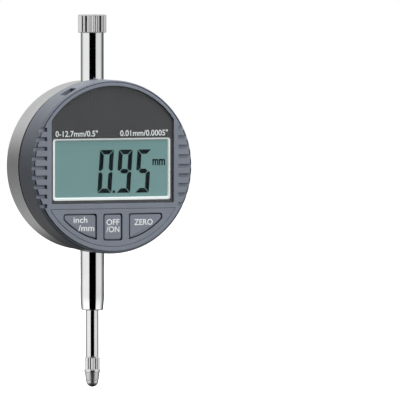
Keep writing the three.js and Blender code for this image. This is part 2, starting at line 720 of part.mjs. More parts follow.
// ---------------------------------------------------------------- back plate and lug
function backPlate() {
  const plate = turnedY([
    [LUG_BASE_RADIUS + PRESSED, plateFront],
    [plateRadius, plateFront],
    [plateRadius, caseBack - 0.3],
    [plateRadius - 0.3, caseBack],
    [LUG_BASE_RADIUS + PRESSED, caseBack],
  ]);
  const seat = caseBack - SCREW_HEAD - STACKED;
  return cut(
    plate,
    ...plateScrewPlaces.map(([x, z]) =>
      join(
        rodY(SCREW_RADIUS + 0.1 + PRESSED, plateFront - 1, caseBack, SMALL_SIDES),
        rodY(PLATE_SCREW_HEAD + PRESSED, seat - STACKED, caseBack + 1, 20),
      ).translate([x, 0, z]),
    ),
  );
}

function lug() {
  const arcCentre = lugBaseBack + LUG_LENGTH - LUG_ARC_RADIUS;
  const corner = Math.asin(LUG_HALF_WIDTH / LUG_ARC_RADIUS);
  const outline = new THREE.Shape();
  outline.moveTo(lugBaseBack - 0.3, LUG_HALF_WIDTH);
  outline.lineTo(lugBaseBack - 0.3, -LUG_HALF_WIDTH);
  outline.absarc(arcCentre, 0, LUG_ARC_RADIUS, -corner, corner, false);
  const hole = new THREE.Path();
  hole.absarc(lugBaseBack + LUG_HOLE_HEIGHT, 0, LUG_HOLE_RADIUS, 0, 2 * Math.PI, true);
  outline.holes.push(hole);
  const tongue = slabX(outline, -LUG_HALF_THICKNESS, LUG_HALF_THICKNESS, 16);
  const base = turnedY(
    [
      [0, plateFront],
      [LUG_BASE_RADIUS, plateFront],
      [LUG_BASE_RADIUS, lugBaseBack - 0.3],
      [LUG_BASE_RADIUS - 0.3, lugBaseBack],
      [0, lugBaseBack],
    ],
    40,
  );
  return join(tongue, base);
}

add("back_plate", backPlate(), plateMetal);
add("lug", lug(), plateMetal);
plateScrewPlaces.forEach((place, i) => {
  const screw = screwY(place, caseBack - STACKED, -4, PLATE_SCREW_HEAD, SCREW_HEAD, SCREW_RADIUS + 0.1);
  add(`plate_screw_${i + 1}`, screw, steel);
});

// ---------------------------------------------------------------- turning joint
const postPlaces = POST_ANGLES.map((angle) => onFace(shellInside - POST_INSET, angle));

function headBase() {
  const ring = ringY(HUB_RADIUS + TURNING, shellInside - STACKED, baseFront, shellBack);
  const channel = slabY(
    bandOutline(STOP_IN - STOP_MARGIN, STOP_OUT + STOP_MARGIN, 180, 360 - TAB_SPAN),
    shellBack - STOP_CHANNEL,
    shellBack + 1,
    48,
  );
  return cut(
    ring,
    channel,
    ...postPlaces.map(([x, z]) =>
      join(
        rodY(SCREW_RADIUS + PRESSED, baseFront - 1, shellBack, SMALL_SIDES),
        rodY(SCREW_HEAD_RADIUS + PRESSED, shellBack - SCREW_HEAD - 2 * STACKED, shellBack + 1, SMALL_SIDES),
      ).translate([x, 0, z]),
    ),
  );
}

function retainingRing() {
  const ring = ringY(HUB_RADIUS - RETAINER_STEP + PRESSED, RETAINER_RADIUS, hubFront, hubStep - STACKED);
  const notch = () => block(-1, 1, hubFront - 1, hubStep + 1, RETAINER_RADIUS - 1.2, RETAINER_RADIUS + 1);
  return cut(ring, notch(), swung(notch(), 180));
}

function frictionRing() {
  const middle = HUB_RADIUS - FRICTION_GROOVE + FRICTION_RING + PRESSED;
  const section = [];
  for (let i = 0; i < 6; i += 1) {
    const angle = (Math.PI * i) / 3;
    section.push([middle + FRICTION_RING * Math.cos(angle), grooveMiddle + FRICTION_RING * Math.sin(angle)]);
  }
  return turnedY(section);
}

add("head_base", headBase(), darkPlastic);
add("retaining_ring", retainingRing(), steel);
add("friction_ring", frictionRing(), rubber);
postPlaces.forEach((place, i) => {
  const screw = screwY(place, shellBack - STACKED, -2.8, SCREW_HEAD_RADIUS, SCREW_HEAD, SCREW_RADIUS);
  add(`base_screw_${i + 1}`, screw, steel);
});

// ---------------------------------------------------------------- front shell
const boardScrewPlaces = BOARD_SCREW_ANGLES.map((angle) => onFace(shellInside - BOARD_SCREW_INSET, angle));

function gripNotches() {
  const notches = [];
  const start = windowHalfWidth + GRIP_GAP;
  for (let i = 0; i < GRIP_NOTCHES; i += 1) {
    const z = (i - (GRIP_NOTCHES - 1) / 2) * GRIP_PITCH;
    const half = GRIP_NOTCH / 2;
    const end = SHELL_RADIUS + 1;
    notches.push(block(start, end, shellFront - 1, shellFront + GRIP_DEPTH, z - half, z + half));
    notches.push(block(-end, -start, shellFront - 1, shellFront + GRIP_DEPTH, z - half, z + half));
  }
  return notches;
}

function frontShell() {
  const cup = turnedY([
    [0, shellFront],
    [SHELL_RADIUS - SHELL_CHAMFER_STEP, shellFront],
    [SHELL_RADIUS, shellFront + SHELL_CHAMFER_DEPTH],
    [SHELL_RADIUS, shellBack],
    [shellInside, shellBack],
    [shellInside, ledgeBack],
    [0, ledgeBack],
  ]);
  const posts = common(
    join(
      ...postPlaces.map(([x, z]) =>
        rodY(POST_RADIUS, baseFront - STACKED - POST_LENGTH, baseFront - STACKED, SMALL_SIDES).translate(x, 0, z),
      ),
    ),
    rodY(shellInside + 0.5, shellFront, shellBack),
  );
  const bosses = boardScrewPlaces.map(([x, z]) =>
    rodY(BOARD_BOSS_RADIUS, ledgeBack - 0.3, boardFront - STACKED, SMALL_SIDES).translate(x, 0, z),
  );
  const screwHoles = [
    ...postPlaces.map(([x, z]) =>
      rodY(SCREW_RADIUS + PRESSED, baseFront - POST_LENGTH + 0.4, shellBack, SMALL_SIDES).translate(x, 0, z),
    ),
    ...boardScrewPlaces.map(([x, z]) =>
      rodY(SCREW_RADIUS + PRESSED, ledgeBack - 0.2, boardFront, SMALL_SIDES).translate(x, 0, z),
    ),
  ];
  const traySlot = block(
    -trayHalf - LOOSE, trayHalf + LOOSE, trayFront - LOOSE, trayBack + LOOSE, cellCircle, SHELL_RADIUS + 1,
  );
  const portMiddle = shellFront + PORT_MIDDLE;
  const portHole = block(
    -PORT_WIDTH / 2, PORT_WIDTH / 2, portMiddle - PORT_LENGTH / 2, portMiddle + PORT_LENGTH / 2,
    cellCircle, SHELL_RADIUS + 1,
  );
  return cut(
    join(cup, posts, ...bosses),
    slabY(windowOutline(-LOOSE, -LOOSE), shellFront - 1, ledgeFront, 36),
    slabY(windowOutline(LEDGE_WIDTH, ARC_LEDGE_WIDTH), shellFront - 1, ledgeBack + 1, 36),
    ...[-1, 0, 1].map((side) => slabY(keyOutline(side, 0), shellFront - 1, ledgeBack + 0.5, 8)),
    ...gripNotches(),
    ...screwHoles,
    swung(traySlot, TRAY_ANGLE),
    swung(portHole, PORT_ANGLE),
  );
}
add("front_shell", frontShell(), shellPlastic);

// ---------------------------------------------------------------- window and display
const viewMiddle = (VIEW_RISE - VIEW_DROP) / 2;
const viewHalfHeight = (VIEW_RISE + VIEW_DROP) / 2;
// A block centred on the view, larger than it by a margin on every side.
const viewBlock = (margin, front, back) =>
  block(
    -VIEW_HALF_WIDTH - margin, VIEW_HALF_WIDTH + margin, front, back,
    viewMiddle - viewHalfHeight - margin, viewMiddle + viewHalfHeight + margin,
  );

function displayHolder() {
  const border = viewBlock(FRAME_BORDER, holderFront, ledgeBack + 1);
  const flange = viewBlock(FRAME_BORDER + HOLDER_FLANGE, ledgeBack + 2 * STACKED, boardFront - STACKED);
  return cut(
    join(border, flange),
    viewBlock(0, holderFront - 1, boardFront + 1),
    viewBlock(LCD_MARGIN + STACKED, lcdFront - PRESSED, boardFront + 1),
  );
}

function connectorStrip(side) {
  const edge = viewMiddle + side * (viewHalfHeight + LCD_MARGIN - 0.1);
  const inner = edge - side * STRIP_WIDTH;
  const low = Math.min(edge, inner);
  return block(-VIEW_HALF_WIDTH, VIEW_HALF_WIDTH, lcdBack + PRESSED, boardFront - PRESSED, low, low + STRIP_WIDTH);
}

add("lens", slabY(windowOutline(0, 0), lensFront, lensBack, 36), lensPlastic);
add(
  "lens_mask",
  cut(slabY(windowOutline(0, 0), maskFront, maskBack, 36), viewBlock(LCD_RIM, maskFront - 1, maskBack + 1)),
  maskPrint,
);
add("display_holder", displayHolder(), whitePlastic);
add("lcd_panel", viewBlock(LCD_MARGIN, lcdFront, lcdBack), lcdGlass);
add("connector_strip_upper", connectorStrip(1), rubber);
add("connector_strip_lower", connectorStrip(-1), rubber);

// ---------------------------------------------------------------- main board
function mainBoard() {
  const radius = shellInside - 2 * LOOSE;
  const disc = rodY(radius, boardFront, boardBack);
  return cut(
    disc,
    block(-SHELL_RADIUS, SHELL_RADIUS, boardFront - 1, boardBack + 1, boardRise, SHELL_RADIUS),
    ...boardScrewPlaces.map(([x, z]) =>
      rodY(SCREW_RADIUS + PRESSED, boardFront - 1, boardBack + 1, SMALL_SIDES).translate(x, 0, z),
    ),
  );
}
add("main_board", mainBoard(), circuitBoard);
boardScrewPlaces.forEach((place, i) => {
  const screw = screwY(
    place, boardBack + STACKED + SCREW_HEAD, -3.2, SCREW_HEAD_RADIUS, SCREW_HEAD, SCREW_RADIUS,
  );
  add(`board_screw_${i + 1}`, screw, steel);
});
add(
  "controller_chip",
  turnedY(
    [
      [0, boardBack + STACKED],
      [CHIP_RADIUS, boardBack + STACKED],
      [CHIP_RADIUS * 0.85, boardBack + 0.7 * CHIP_HEIGHT],
      [CHIP_RADIUS * 0.5, boardBack + CHIP_HEIGHT],
      [0, boardBack + CHIP_HEIGHT],
    ],
    20,
  ).translate(CHIP_PLACE[0], 0, CHIP_PLACE[1]),
  epoxy,
);

// ---------------------------------------------------------------- keys
const keyFront = shellFront + KEY_SINK;
const flangeFront = ledgeBack + STACKED;
const domeFront = boardFront - STACKED - DOME_HEIGHT;
const domePlaces = [
  [-OUTER_DOME_PLACE[0], OUTER_DOME_PLACE[1]],
  MIDDLE_DOME_PLACE,
  OUTER_DOME_PLACE,
];

function key(side) {
  const [x, z] = domePlaces[side + 1];
  return join(
    slabY(keyOutline(side, -LOOSE), keyFront, flangeFront + 0.2, 8),
    slabY(keyOutline(side, KEY_FLANGE_STEP), flangeFront, flangeFront + KEY_FLANGE, 8),
    rodY(KEY_PLUNGER_RADIUS, flangeFront, domeFront - KEY_TRAVEL - STACKED, 20).translate(x, 0, z),
  );
}

["inch_mm", "on_off", "zero"].forEach((name, i) => {
  const [x, z] = domePlaces[i];
  add(`key_${name}`, key(i - 1), keyPlastic);
  const dome = turnedY(
    [
      [0, boardFront - STACKED],
      [DOME_RADIUS, boardFront - STACKED],
      [DOME_RADIUS, boardFront - STACKED - 0.12],
      [DOME_RADIUS * 0.55, domeFront],
      [0, domeFront],
    ],
    12,
  );
  add(`dome_${name}`, dome.translate(x, 0, z), steel);
});

// ---------------------------------------------------------------- battery tray
const [cellX, cellZ] = onFace(cellCircle, TRAY_ANGLE);
const cellFront = trayFront + TRAY_FLOOR + STACKED;
const cellBack = cellFront + CELL_HEIGHT;
const leafMiddle = (cellFront + cellBack) / 2;

function batteryTray() {
  const outline = new THREE.Shape();
  outline.moveTo(trayHalf, SHELL_RADIUS + 1);
  outline.lineTo(-trayHalf, SHELL_RADIUS + 1);
  outline.absarc(0, cellCircle, trayHalf, -Math.PI, 0, false);
  const pocket = rodY(CELL_RADIUS + STACKED, trayFront + TRAY_FLOOR, trayBack + 1, 40).translate(0, 0, cellCircle);
  const [slotLong, slotHigh, slotDeep] = NAIL_SLOT;
  const nailMiddle = (trayFront + trayBack) / 2;
  const nailSlot = block(
    -slotLong / 2, slotLong / 2, nailMiddle - slotHigh / 2, nailMiddle + slotHigh / 2,
    SHELL_RADIUS - slotDeep, SHELL_RADIUS + 1,
  );
  // The plus leaf stays in this groove while the tray slides out.
  const leafHalf = LEAF_WIDTH / 2 + LOOSE;
  const leafGroove = block(
    -trayHalf - 1, -CELL_RADIUS + 1, leafMiddle - leafHalf, leafMiddle + leafHalf,
    cellCircle - trayHalf - 1, cellCircle + 1,
  );
  const tools = [pocket, nailSlot, leafGroove].map((tool) => swung(tool, TRAY_ANGLE));
  const tray = common(swung(slabY(outline, trayFront, trayBack, 16), TRAY_ANGLE), rodY(SHELL_RADIUS, trayFront - 1, trayBack + 1));
  return cut(tray, ...tools);
}

// Springs to the cell's can from beside the tray, and stands on the board's edge.
function plusContact() {
  const foot = boardRise + FRAME_BORDER + 0.1;
  const outside = -trayHalf - LOOSE - LEAF;
  const front = leafMiddle - LEAF_WIDTH / 2;
  const back = leafMiddle + LEAF_WIDTH / 2;
  const blade = join(
    block(outside - LEAF, outside, front, back, cellCircle - 5, cellCircle + 0.2),
    block(outside - LEAF, -CELL_RADIUS - STACKED, front, back, cellCircle - 0.2, cellCircle + 0.2),
  );
  const turned = solidFrom(swung(geometryFrom(blade), TRAY_ANGLE));
  const [x, z] = onFace(cellCircle - 5, TRAY_ANGLE);
  const side = degrees(TRAY_ANGLE);
  const endX = x + (outside - LEAF / 2) * Math.cos(side);
  const endZ = z - (outside - LEAF / 2) * Math.sin(side);
  return join(turned, block(endX - 0.3, endX + 0.3, front, back, foot, endZ + 0.2));
}

// Springs to the cell's end, and stands on the back of the board.
function minusContact() {
  const near = trayBack + STACKED;
  return join(
    block(cellX - LEAF_WIDTH, cellX + LEAF_WIDTH, near, near + LEAF, boardRise - 1, cellZ + 3),
    block(cellX - LEAF_WIDTH, cellX + LEAF_WIDTH, boardBack + STACKED, near + LEAF, boardRise - 1, boardRise - 0.6),
  );
}

add("battery_tray", batteryTray(), shellPlastic);
add("battery_cell", rodY(CELL_RADIUS, cellFront, cellBack, 40).translate(cellX, 0, cellZ), steel);
add("battery_contact_plus", plusContact(), brass);
add("battery_contact_minus", minusContact(), brass);

// ---------------------------------------------------------------- data port and ribbon
function portConnector() {
  const middle = shellFront + PORT_MIDDLE;
  const top = shellInside - LOOSE;
  const halfWidth = PORT_WIDTH / 2 + PORT_BLOCK_WALL;
  const halfLength = PORT_LENGTH / 2;
  const body = block(
    -halfWidth, halfWidth, Math.max(middle - halfLength - PORT_BLOCK_WALL, ledgeBack + STACKED),
    middle + halfLength + PORT_BLOCK_WALL, top - PORT_BLOCK_DEPTH, top,
  );
  const pocket = block(
    -PORT_WIDTH / 2, PORT_WIDTH / 2, middle - halfLength + 0.8, middle + halfLength,
    top - PORT_POCKET, SHELL_RADIUS,
  );
  const round = rodY(shellInside - STACKED, shellFront, shellBack);
  return common(cut(swung(body, PORT_ANGLE), swung(pocket, PORT_ANGLE)), round);
}

function ribbonCable() {
  const steps = 30;
  const outline = new THREE.Shape();
  const spiral = (i, offset) => {
    const share = i / steps;
    const radius = RIBBON_INNER + (RIBBON_OUTER - RIBBON_INNER) * share + offset;
    const angle = 2 * Math.PI * RIBBON_TURNS * share;
    return [radius * Math.cos(angle), radius * Math.sin(angle)];
  };
  outline.moveTo(...spiral(0, 0));
  for (let i = 0; i <= steps; i += 1) outline.lineTo(...spiral(i, RIBBON));
  for (let i = steps; i > 0; i -= 1) outline.lineTo(...spiral(i, 0));
  const near = boardBack + 2 * STACKED;
  const coil = slabY(outline, near, near + RIBBON_WIDTH);
  const tail = block(RIBBON_INNER, RIBBON_INNER + RIBBON, near, webBack - STACKED, -1.2, 1.2);
  return join(coil, tail);
}

add("port_connector", portConnector(), darkPlastic);
add("ribbon_cable", ribbonCable(), ribbonFilm);

export default indicator;
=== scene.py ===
import json
import math

import bmesh
import bpy
from mathutils import Matrix, Vector


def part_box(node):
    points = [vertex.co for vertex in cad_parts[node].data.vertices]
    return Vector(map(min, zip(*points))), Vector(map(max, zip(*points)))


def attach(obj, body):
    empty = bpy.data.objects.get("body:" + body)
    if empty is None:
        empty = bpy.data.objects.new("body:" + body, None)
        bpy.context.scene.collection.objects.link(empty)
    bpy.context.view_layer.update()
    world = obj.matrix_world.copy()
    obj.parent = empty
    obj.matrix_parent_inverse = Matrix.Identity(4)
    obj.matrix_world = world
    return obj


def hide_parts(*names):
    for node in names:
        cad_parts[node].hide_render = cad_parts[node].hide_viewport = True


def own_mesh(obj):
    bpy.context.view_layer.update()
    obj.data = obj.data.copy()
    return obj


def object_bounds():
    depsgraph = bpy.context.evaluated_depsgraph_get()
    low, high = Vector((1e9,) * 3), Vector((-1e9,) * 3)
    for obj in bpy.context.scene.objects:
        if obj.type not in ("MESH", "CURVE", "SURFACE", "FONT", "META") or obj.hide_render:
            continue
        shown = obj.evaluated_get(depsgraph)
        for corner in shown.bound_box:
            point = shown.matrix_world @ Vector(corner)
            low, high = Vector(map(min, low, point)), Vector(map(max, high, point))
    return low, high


# Digital dial indicator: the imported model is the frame, and this dresses it.
# Sizes here are in millimetres and angles in degrees; dress turns a piece into metres.
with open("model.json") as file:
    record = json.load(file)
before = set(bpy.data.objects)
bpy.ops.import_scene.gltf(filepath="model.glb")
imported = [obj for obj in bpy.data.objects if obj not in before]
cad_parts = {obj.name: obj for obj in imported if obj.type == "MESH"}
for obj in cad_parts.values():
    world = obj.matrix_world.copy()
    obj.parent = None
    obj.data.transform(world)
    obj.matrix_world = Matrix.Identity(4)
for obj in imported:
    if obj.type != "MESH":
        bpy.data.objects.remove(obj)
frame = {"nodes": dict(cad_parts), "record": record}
cadLow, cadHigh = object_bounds()

mm = 0.001


def box(node):
    low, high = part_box(node)
    return low / mm, high / mm


shellLow, shellHigh = box("front_shell")
caseLow, caseHigh = box("case_ring")
faceRadius = (shellHigh.x - shellLow.x) / 2
faceZ = (shellHigh.z + shellLow.z) / 2  # height of the middle of the face
faceY = shellLow.y  # the very front


# ---- camera, floor and light
studio = {
    "azimuth": -23.3,
    "elevation": 2.1,
    "distance": 5500,
    "across": 133.9,  # what the picture takes in
    "right": 36.1,  # from the spindle to the middle of the picture
    "down": 11.6,  # from the middle of the face
    "floorDrop": 6,
    "floorSize": 2500,
}


def aimCamera():
    turn = math.radians(studio["azimuth"])
    tilt = math.radians(studio["elevation"])
    right = Vector((math.cos(turn), math.sin(turn), 0))
    back = Vector((math.sin(turn) * math.cos(tilt), -math.cos(turn) * math.cos(tilt), math.sin(tilt)))
    target = right * studio["right"] + Vector((0, 0, faceZ - studio["down"]))
    lens = bpy.data.cameras.new("camera")
    lens.sensor_width = 36
    lens.lens = 36 * studio["distance"] / studio["across"]
    lens.clip_end = 20
    camera = bpy.data.objects.new("camera", lens)
    camera.location = (target + back * studio["distance"]) * mm
    camera.rotation_euler = (-back).to_track_quat("-Z", "Y").to_euler()
    bpy.context.scene.collection.objects.link(camera)
    bpy.context.scene.camera = camera


aimCamera()


# ---- shaders
class Value:
    # a socket that can be used in sums
    def __init__(self, finish, socket):
        self.finish = finish
        self.socket = socket

    def sum(self, operation, first, second):
        return self.finish.node("ShaderNodeMath", {"operation": operation}, {0: first, 1: second})

    def __add__(self, other):
        return self.sum("ADD", self, other)

    def __radd__(self, other):
        return self.sum("ADD", other, self)

    def __mul__(self, other):
        return self.sum("MULTIPLY", self, other)

    def __rmul__(self, other):
        return self.sum("MULTIPLY", other, self)

    def __truediv__(self, other):
        return self.sum("DIVIDE", self, other)

    def __rtruediv__(self, other):
        return self.sum("DIVIDE", other, self)


class Finish:
    # a material, or the world, and the nodes that are added to it
    def __init__(self, owner):
        self.owner = owner
        owner.use_nodes = True
        self.tree = owner.node_tree
        self.shader = self.tree.nodes.get("Principled BSDF")

    def node(self, kind, settings, sockets, output=0):
        made = self.tree.nodes.new(kind)
        stops = settings.get("stops")
        for key, value in settings.items():
            if key != "stops":
                setattr(made, key, value)
        if stops:
            ramp = made.color_ramp.elements
            while len(ramp) < len(stops):
                ramp.new(0.5)
            for element, (place, shade) in zip(ramp, stops):
                element.position = place
                element.color = shade if len(shade) == 4 else (*shade, 1)
        for key, value in sockets.items():
            self.put(made.inputs[key], value)
        return Value(self, made.outputs[output])

    def put(self, socket, value):
        if isinstance(value, Value):
            self.tree.links.new(value.socket, socket)
        elif hasattr(socket.default_value, "__len__") and len(value) < len(socket.default_value):
            socket.default_value = (*value, 1)
        else:
            socket.default_value = value

    def set(self, **values):
        for key, value in values.items():
            self.put(self.shader.inputs[key.replace("_", " ")], value)
        return self

    def place(self):
        return self.node("ShaderNodeTexCoord", {}, {}, "Object")

    def noise(self, scale, detail=2.0, roughness=0.5, stretch=(1, 1, 1)):
        sockets = {"Vector": self.scaled(self.place(), stretch), "Scale": scale}
        return self.node("ShaderNodeTexNoise", {}, {**sockets, "Detail": detail, "Roughness": roughness})

    def ramp(self, value, stops):
        return self.node("ShaderNodeValToRGB", {"stops": stops}, {"Fac": value})

    def between(self, value, low, high):
        # carries 0..1 to low..high
        return self.node("ShaderNodeMapRange", {}, {"Value": value, "To Min": low, "To Max": high})

    def rise(self, value, start, end):
        # 0 at start, 1 at end
        return self.node("ShaderNodeMapRange", {}, {"Value": value, "From Min": start, "From Max": end})

    def dot(self, first, second):
        return self.node("ShaderNodeVectorMath", {"operation": "DOT_PRODUCT"}, {0: first, 1: second}, "Value")

    def scaled(self, vector, stretch):
        return self.node("ShaderNodeVectorMath", {"operation": "MULTIPLY"}, {0: vector, 1: stretch})

    def mix(self, share, first, second, how="MIX"):
        settings = {"data_type": "RGBA", "blend_type": how}
        return self.node("ShaderNodeMix", settings, {0: share, 6: first, 7: second}, 2)

    def softEdge(self, radius):
        return self.node("ShaderNodeBevel", {"samples": 4}, {"Radius": radius * mm})

    def edgeWear(self, radius):
        # near 1 on sharp edges, 0 on the flat
        plain = self.node("ShaderNodeNewGeometry", {}, {}, "Normal")
        return self.rise(self.dot(self.softEdge(radius), plain), 0.995, 0.8)

    def bump(self, height, strength, depth, edge=0.0):
        sockets = {"Height": height, "Strength": strength, "Distance": depth * mm}
        if edge:
            sockets["Normal"] = self.softEdge(edge)
        return self.node("ShaderNodeBump", {}, sockets)


def newFinish(name):
    return Finish(bpy.data.materials.new(name))


def mouldedPlastic(name, settings):
    # spark-eroded moulding: fine grain, slight mottling and paler rubbed edges
    paint = newFinish(name)
    grain = paint.noise(settings["grain"], 3.0, 0.6)
    mottle = paint.noise(140.0, 2.0)
    tone = paint.ramp(mottle, [(0.3, settings["dark"]), (0.7, settings["light"])])
    worn = paint.edgeWear(settings["edge"])
    spread = 0.08
    return paint.set(
        Base_Color=paint.mix(worn * settings["wear"], tone, settings["rubbed"]),
        Roughness=paint.between(grain, settings["roughness"] - spread, settings["roughness"] + spread),
        Specular_IOR_Level=0.3,
        Normal=paint.bump(grain, settings["bump"], 0.02, settings["edge"]),
    ).owner


def platedMetal(name, settings):
    # ground or chromed: faint lines round the part and a little bloom in the shine
    paint = newFinish(name)
    lines = paint.noise(settings["lines"], 2.0, 0.5, settings.get("across", (1, 1, 1)))
    bloom = paint.noise(90.0, 3.0)
    return paint.set(
        Base_Color=paint.ramp(bloom, [(0.25, settings["dark"]), (0.75, settings["light"])]),
        Metallic=settings.get("metal", 1.0),
        Roughness=paint.between(lines, settings["roughness"] * 0.7, settings["roughness"] * 1.3),
        Normal=paint.bump(lines, settings["bump"], 0.004, settings["edge"]),
    ).owner


def mottledFilm(name, settings):
    # print, ink, rubber or resin: two tones in one noise, shine and bump from another
    paint = newFinish(name)
    tone = paint.noise(*settings["tone"])
    grain = paint.noise(*settings.get("grain", settings["tone"]))
    low, high = settings.get("stops", (0.3, 0.7))
    strength, depth = settings["bump"]
    return paint.set(
        Base_Color=paint.ramp(tone, [(low, settings["dark"]), (high, settings["light"])]),
        Roughness=paint.between(grain, *settings["roughness"]),
        Specular_IOR_Level=settings.get("shine", 0.5),
        Normal=paint.bump(grain, strength, depth, settings.get("edge", 0)),
    ).owner


# dark and light are the ends of the mottling, rubbed is the colour of worn edges, grain is its fineness
plastics = {
    "shell_plastic": {
        "dark": (0.192, 0.212, 0.255), "light": (0.212, 0.234, 0.28), "rubbed": (0.34, 0.37, 0.42),
        "wear": 0.45, "roughness": 0.42, "grain": 5200.0, "bump": 0.25, "edge": 0.22,
    },
    "key_plastic": {
        "dark": (0.2, 0.218, 0.262), "light": (0.218, 0.238, 0.284), "rubbed": (0.36, 0.39, 0.45),
        "wear": 0.5, "roughness": 0.46, "grain": 6500.0, "bump": 0.2, "edge": 0.2,
    },
    "dark_plastic": {
        "dark": (0.012, 0.012, 0.014), "light": (0.018, 0.018, 0.02), "rubbed": (0.06, 0.06, 0.065),
        "wear": 0.4, "roughness": 0.5, "grain": 5000.0, "bump": 0.2, "edge": 0.15,
    },
    "white_plastic": {
        "dark": (0.93, 0.95, 0.95), "light": (0.97, 0.98, 0.98), "rubbed": (0.95, 0.96, 0.96),
        "wear": 0.3, "roughness": 0.3, "grain": 3000.0, "bump": 0.06, "edge": 0.12,
    },
}
# lines is their fineness and across stretches them along the part's own axis
metals = {
    "case_metal": {
        "dark": (0.5, 0.5, 0.505), "light": (0.58, 0.58, 0.585),
        "lines": 60.0, "across": (1, 160, 1), "roughness": 0.34, "bump": 0.35, "edge": 0.15,
    },
    "plate_metal": {
        "dark": (0.4, 0.43, 0.475), "light": (0.46, 0.49, 0.535), "metal": 0.6,
        "lines": 1500.0, "roughness": 0.42, "bump": 0.2, "edge": 0.2,
    },
    "chrome": {
        "dark": (0.76, 0.765, 0.77), "light": (0.84, 0.845, 0.85),
        "lines": 40.0, "across": (1, 1, 140), "roughness": 0.085, "bump": 0.015, "edge": 0.1,
    },
    "steel": {
        "dark": (0.4, 0.4, 0.41), "light": (0.52, 0.52, 0.53),
        "lines": 900.0, "roughness": 0.3, "bump": 0.15, "edge": 0.1,
    },
    "satin_steel": {
        "dark": (0.62, 0.62, 0.625), "light": (0.72, 0.72, 0.725),
        "lines": 60.0, "across": (1, 1, 90), "roughness": 0.2, "bump": 0.04, "edge": 0.1,
    },
    "ground_steel": {
        "dark": (0.56, 0.56, 0.565), "light": (0.66, 0.66, 0.665),
        "lines": 60.0, "across": (1, 1, 90), "roughness": 0.36, "bump": 0.1, "edge": 0.1,
    },
    "brass": {
        "dark": (0.5, 0.34, 0.12), "light": (0.62, 0.44, 0.18),
        "lines": 60.0, "across": (1, 1, 120), "roughness": 0.28, "bump": 0.2, "edge": 0.1,
    },
    "gold_plate": {
        "dark": (0.75, 0.5, 0.16), "light": (0.85, 0.6, 0.22),
        "lines": 500.0, "roughness": 0.2, "bump": 0.1, "edge": 0.05,
    },
}
films = {
    "mask_print": {
        "tone": (25.0, 1.0), "grain": (3800.0, 2.0), "stops": (0.35, 0.65), "dark": (0.062, 0.061, 0.063),
        "light": (0.072, 0.071, 0.073), "roughness": (0.45, 0.5), "shine": 0.2, "bump": (0.02, 0.004),
    },
    "white_ink": {
        "tone": (4000.0, 2.0), "dark": (0.81, 0.828, 0.828), "light": (0.9, 0.92, 0.92),
        "roughness": (0.4, 0.6), "shine": 0.3, "bump": (0.1, 0.01),
    },
    "segment_ink": {
        "tone": (4000.0, 2.0), "dark": (0.0018, 0.0054, 0.0072), "light": (0.002, 0.006, 0.008),
        "roughness": (0.5, 0.7), "shine": 0.03, "bump": (0.1, 0.01),
    },
    "rubber": {
        "tone": (700.0, 3.0), "dark": (0.012, 0.012, 0.013), "light": (0.024, 0.024, 0.026),
        "roughness": (0.65, 0.9), "bump": (0.2, 0.03), "edge": 0.1,
    },
    "epoxy": {
        "tone": (350.0, 1.0), "dark": (0.006, 0.006, 0.007), "light": (0.012, 0.012, 0.013),
        "roughness": (0.12, 0.28), "bump": (0.25, 0.1), "edge": 0.2,
    },
}
finishes = {}
for make, table in ((mouldedPlastic, plastics), (platedMetal, metals), (mottledFilm, films)):
    for name, settings in table.items():
        finishes[name] = make(name, settings)


def clearLens():
    # moulded acrylic: clear straight through, shiny at its surface
    paint = newFinish("clearLens")
    haze = paint.noise(60.0, 2.0)
    gloss = paint.node(
        "ShaderNodeBsdfGlossy", {}, {"Color": (1, 1, 1), "Roughness": 0.03, "Normal": paint.bump(haze, 0.02, 0.02)}
    )
    through = paint.node("ShaderNodeBsdfTransparent", {}, {"Color": (0.985, 0.995, 0.995)})
    rim = paint.node("ShaderNodeFresnel", {}, {"IOR": 1.49})
    both = paint.node("ShaderNodeMixShader", {}, {0: rim * 0.15, 1: through, 2: gloss})
    paint.put(paint.tree.nodes["Material Output"].inputs["Surface"], both)
    paint.tree.nodes.remove(paint.shader)
    return paint.owner


def lcdGlass():
    # grey-green reflective display: a soft sweep of tone and the reflector's fine sparkle
    paint = newFinish("lcdGlass")
    sparkle = paint.noise(7000.0, 2.0)
    sweep = paint.noise(18.0, 1.0)
    tone = paint.ramp(sweep, [(0.3, (0.18, 0.318, 0.31)), (0.7, (0.196, 0.336, 0.33))])
    return paint.set(
        Base_Color=paint.mix(sparkle * 0.08, tone, (0.26, 0.4, 0.39)),
        Roughness=paint.between(sparkle, 0.38, 0.48),
        Specular_IOR_Level=0.2,
        Normal=paint.bump(sparkle, 0.03, 0.005),
    ).owner


def circuitBoard():
    # green mask over copper tracks, with bare gold pads
    paint = newFinish("circuitBoard")
    place = paint.scaled(paint.place(), (1, 0, 1))
    tracks = paint.node(
        "ShaderNodeTexBrick",
        {"offset": 0.35, "squash": 1.0},
        {"Vector": place, "Scale": 420.0, "Mortar Size": 0.035, "Brick Width": 1.3, "Row Height": 0.42},
        output="Fac",
    )
    pads = paint.node("ShaderNodeTexVoronoi", {}, {"Vector": place, "Scale": 330.0}, "Distance")
    pad = paint.node("ShaderNodeMath", {"operation": "LESS_THAN"}, {0: pads, 1: 0.12})
    green = paint.mix(tracks, (0.004, 0.075, 0.03), (0.012, 0.14, 0.055))
    return paint.set(
        Base_Color=paint.mix(pad, green, (0.75, 0.52, 0.18)),
        Metallic=pad * 0.9,
        Roughness=paint.between(paint.noise(900.0), 0.25, 0.45),
        Normal=paint.bump(tracks, 0.3, 0.03, 0.08),
    ).owner


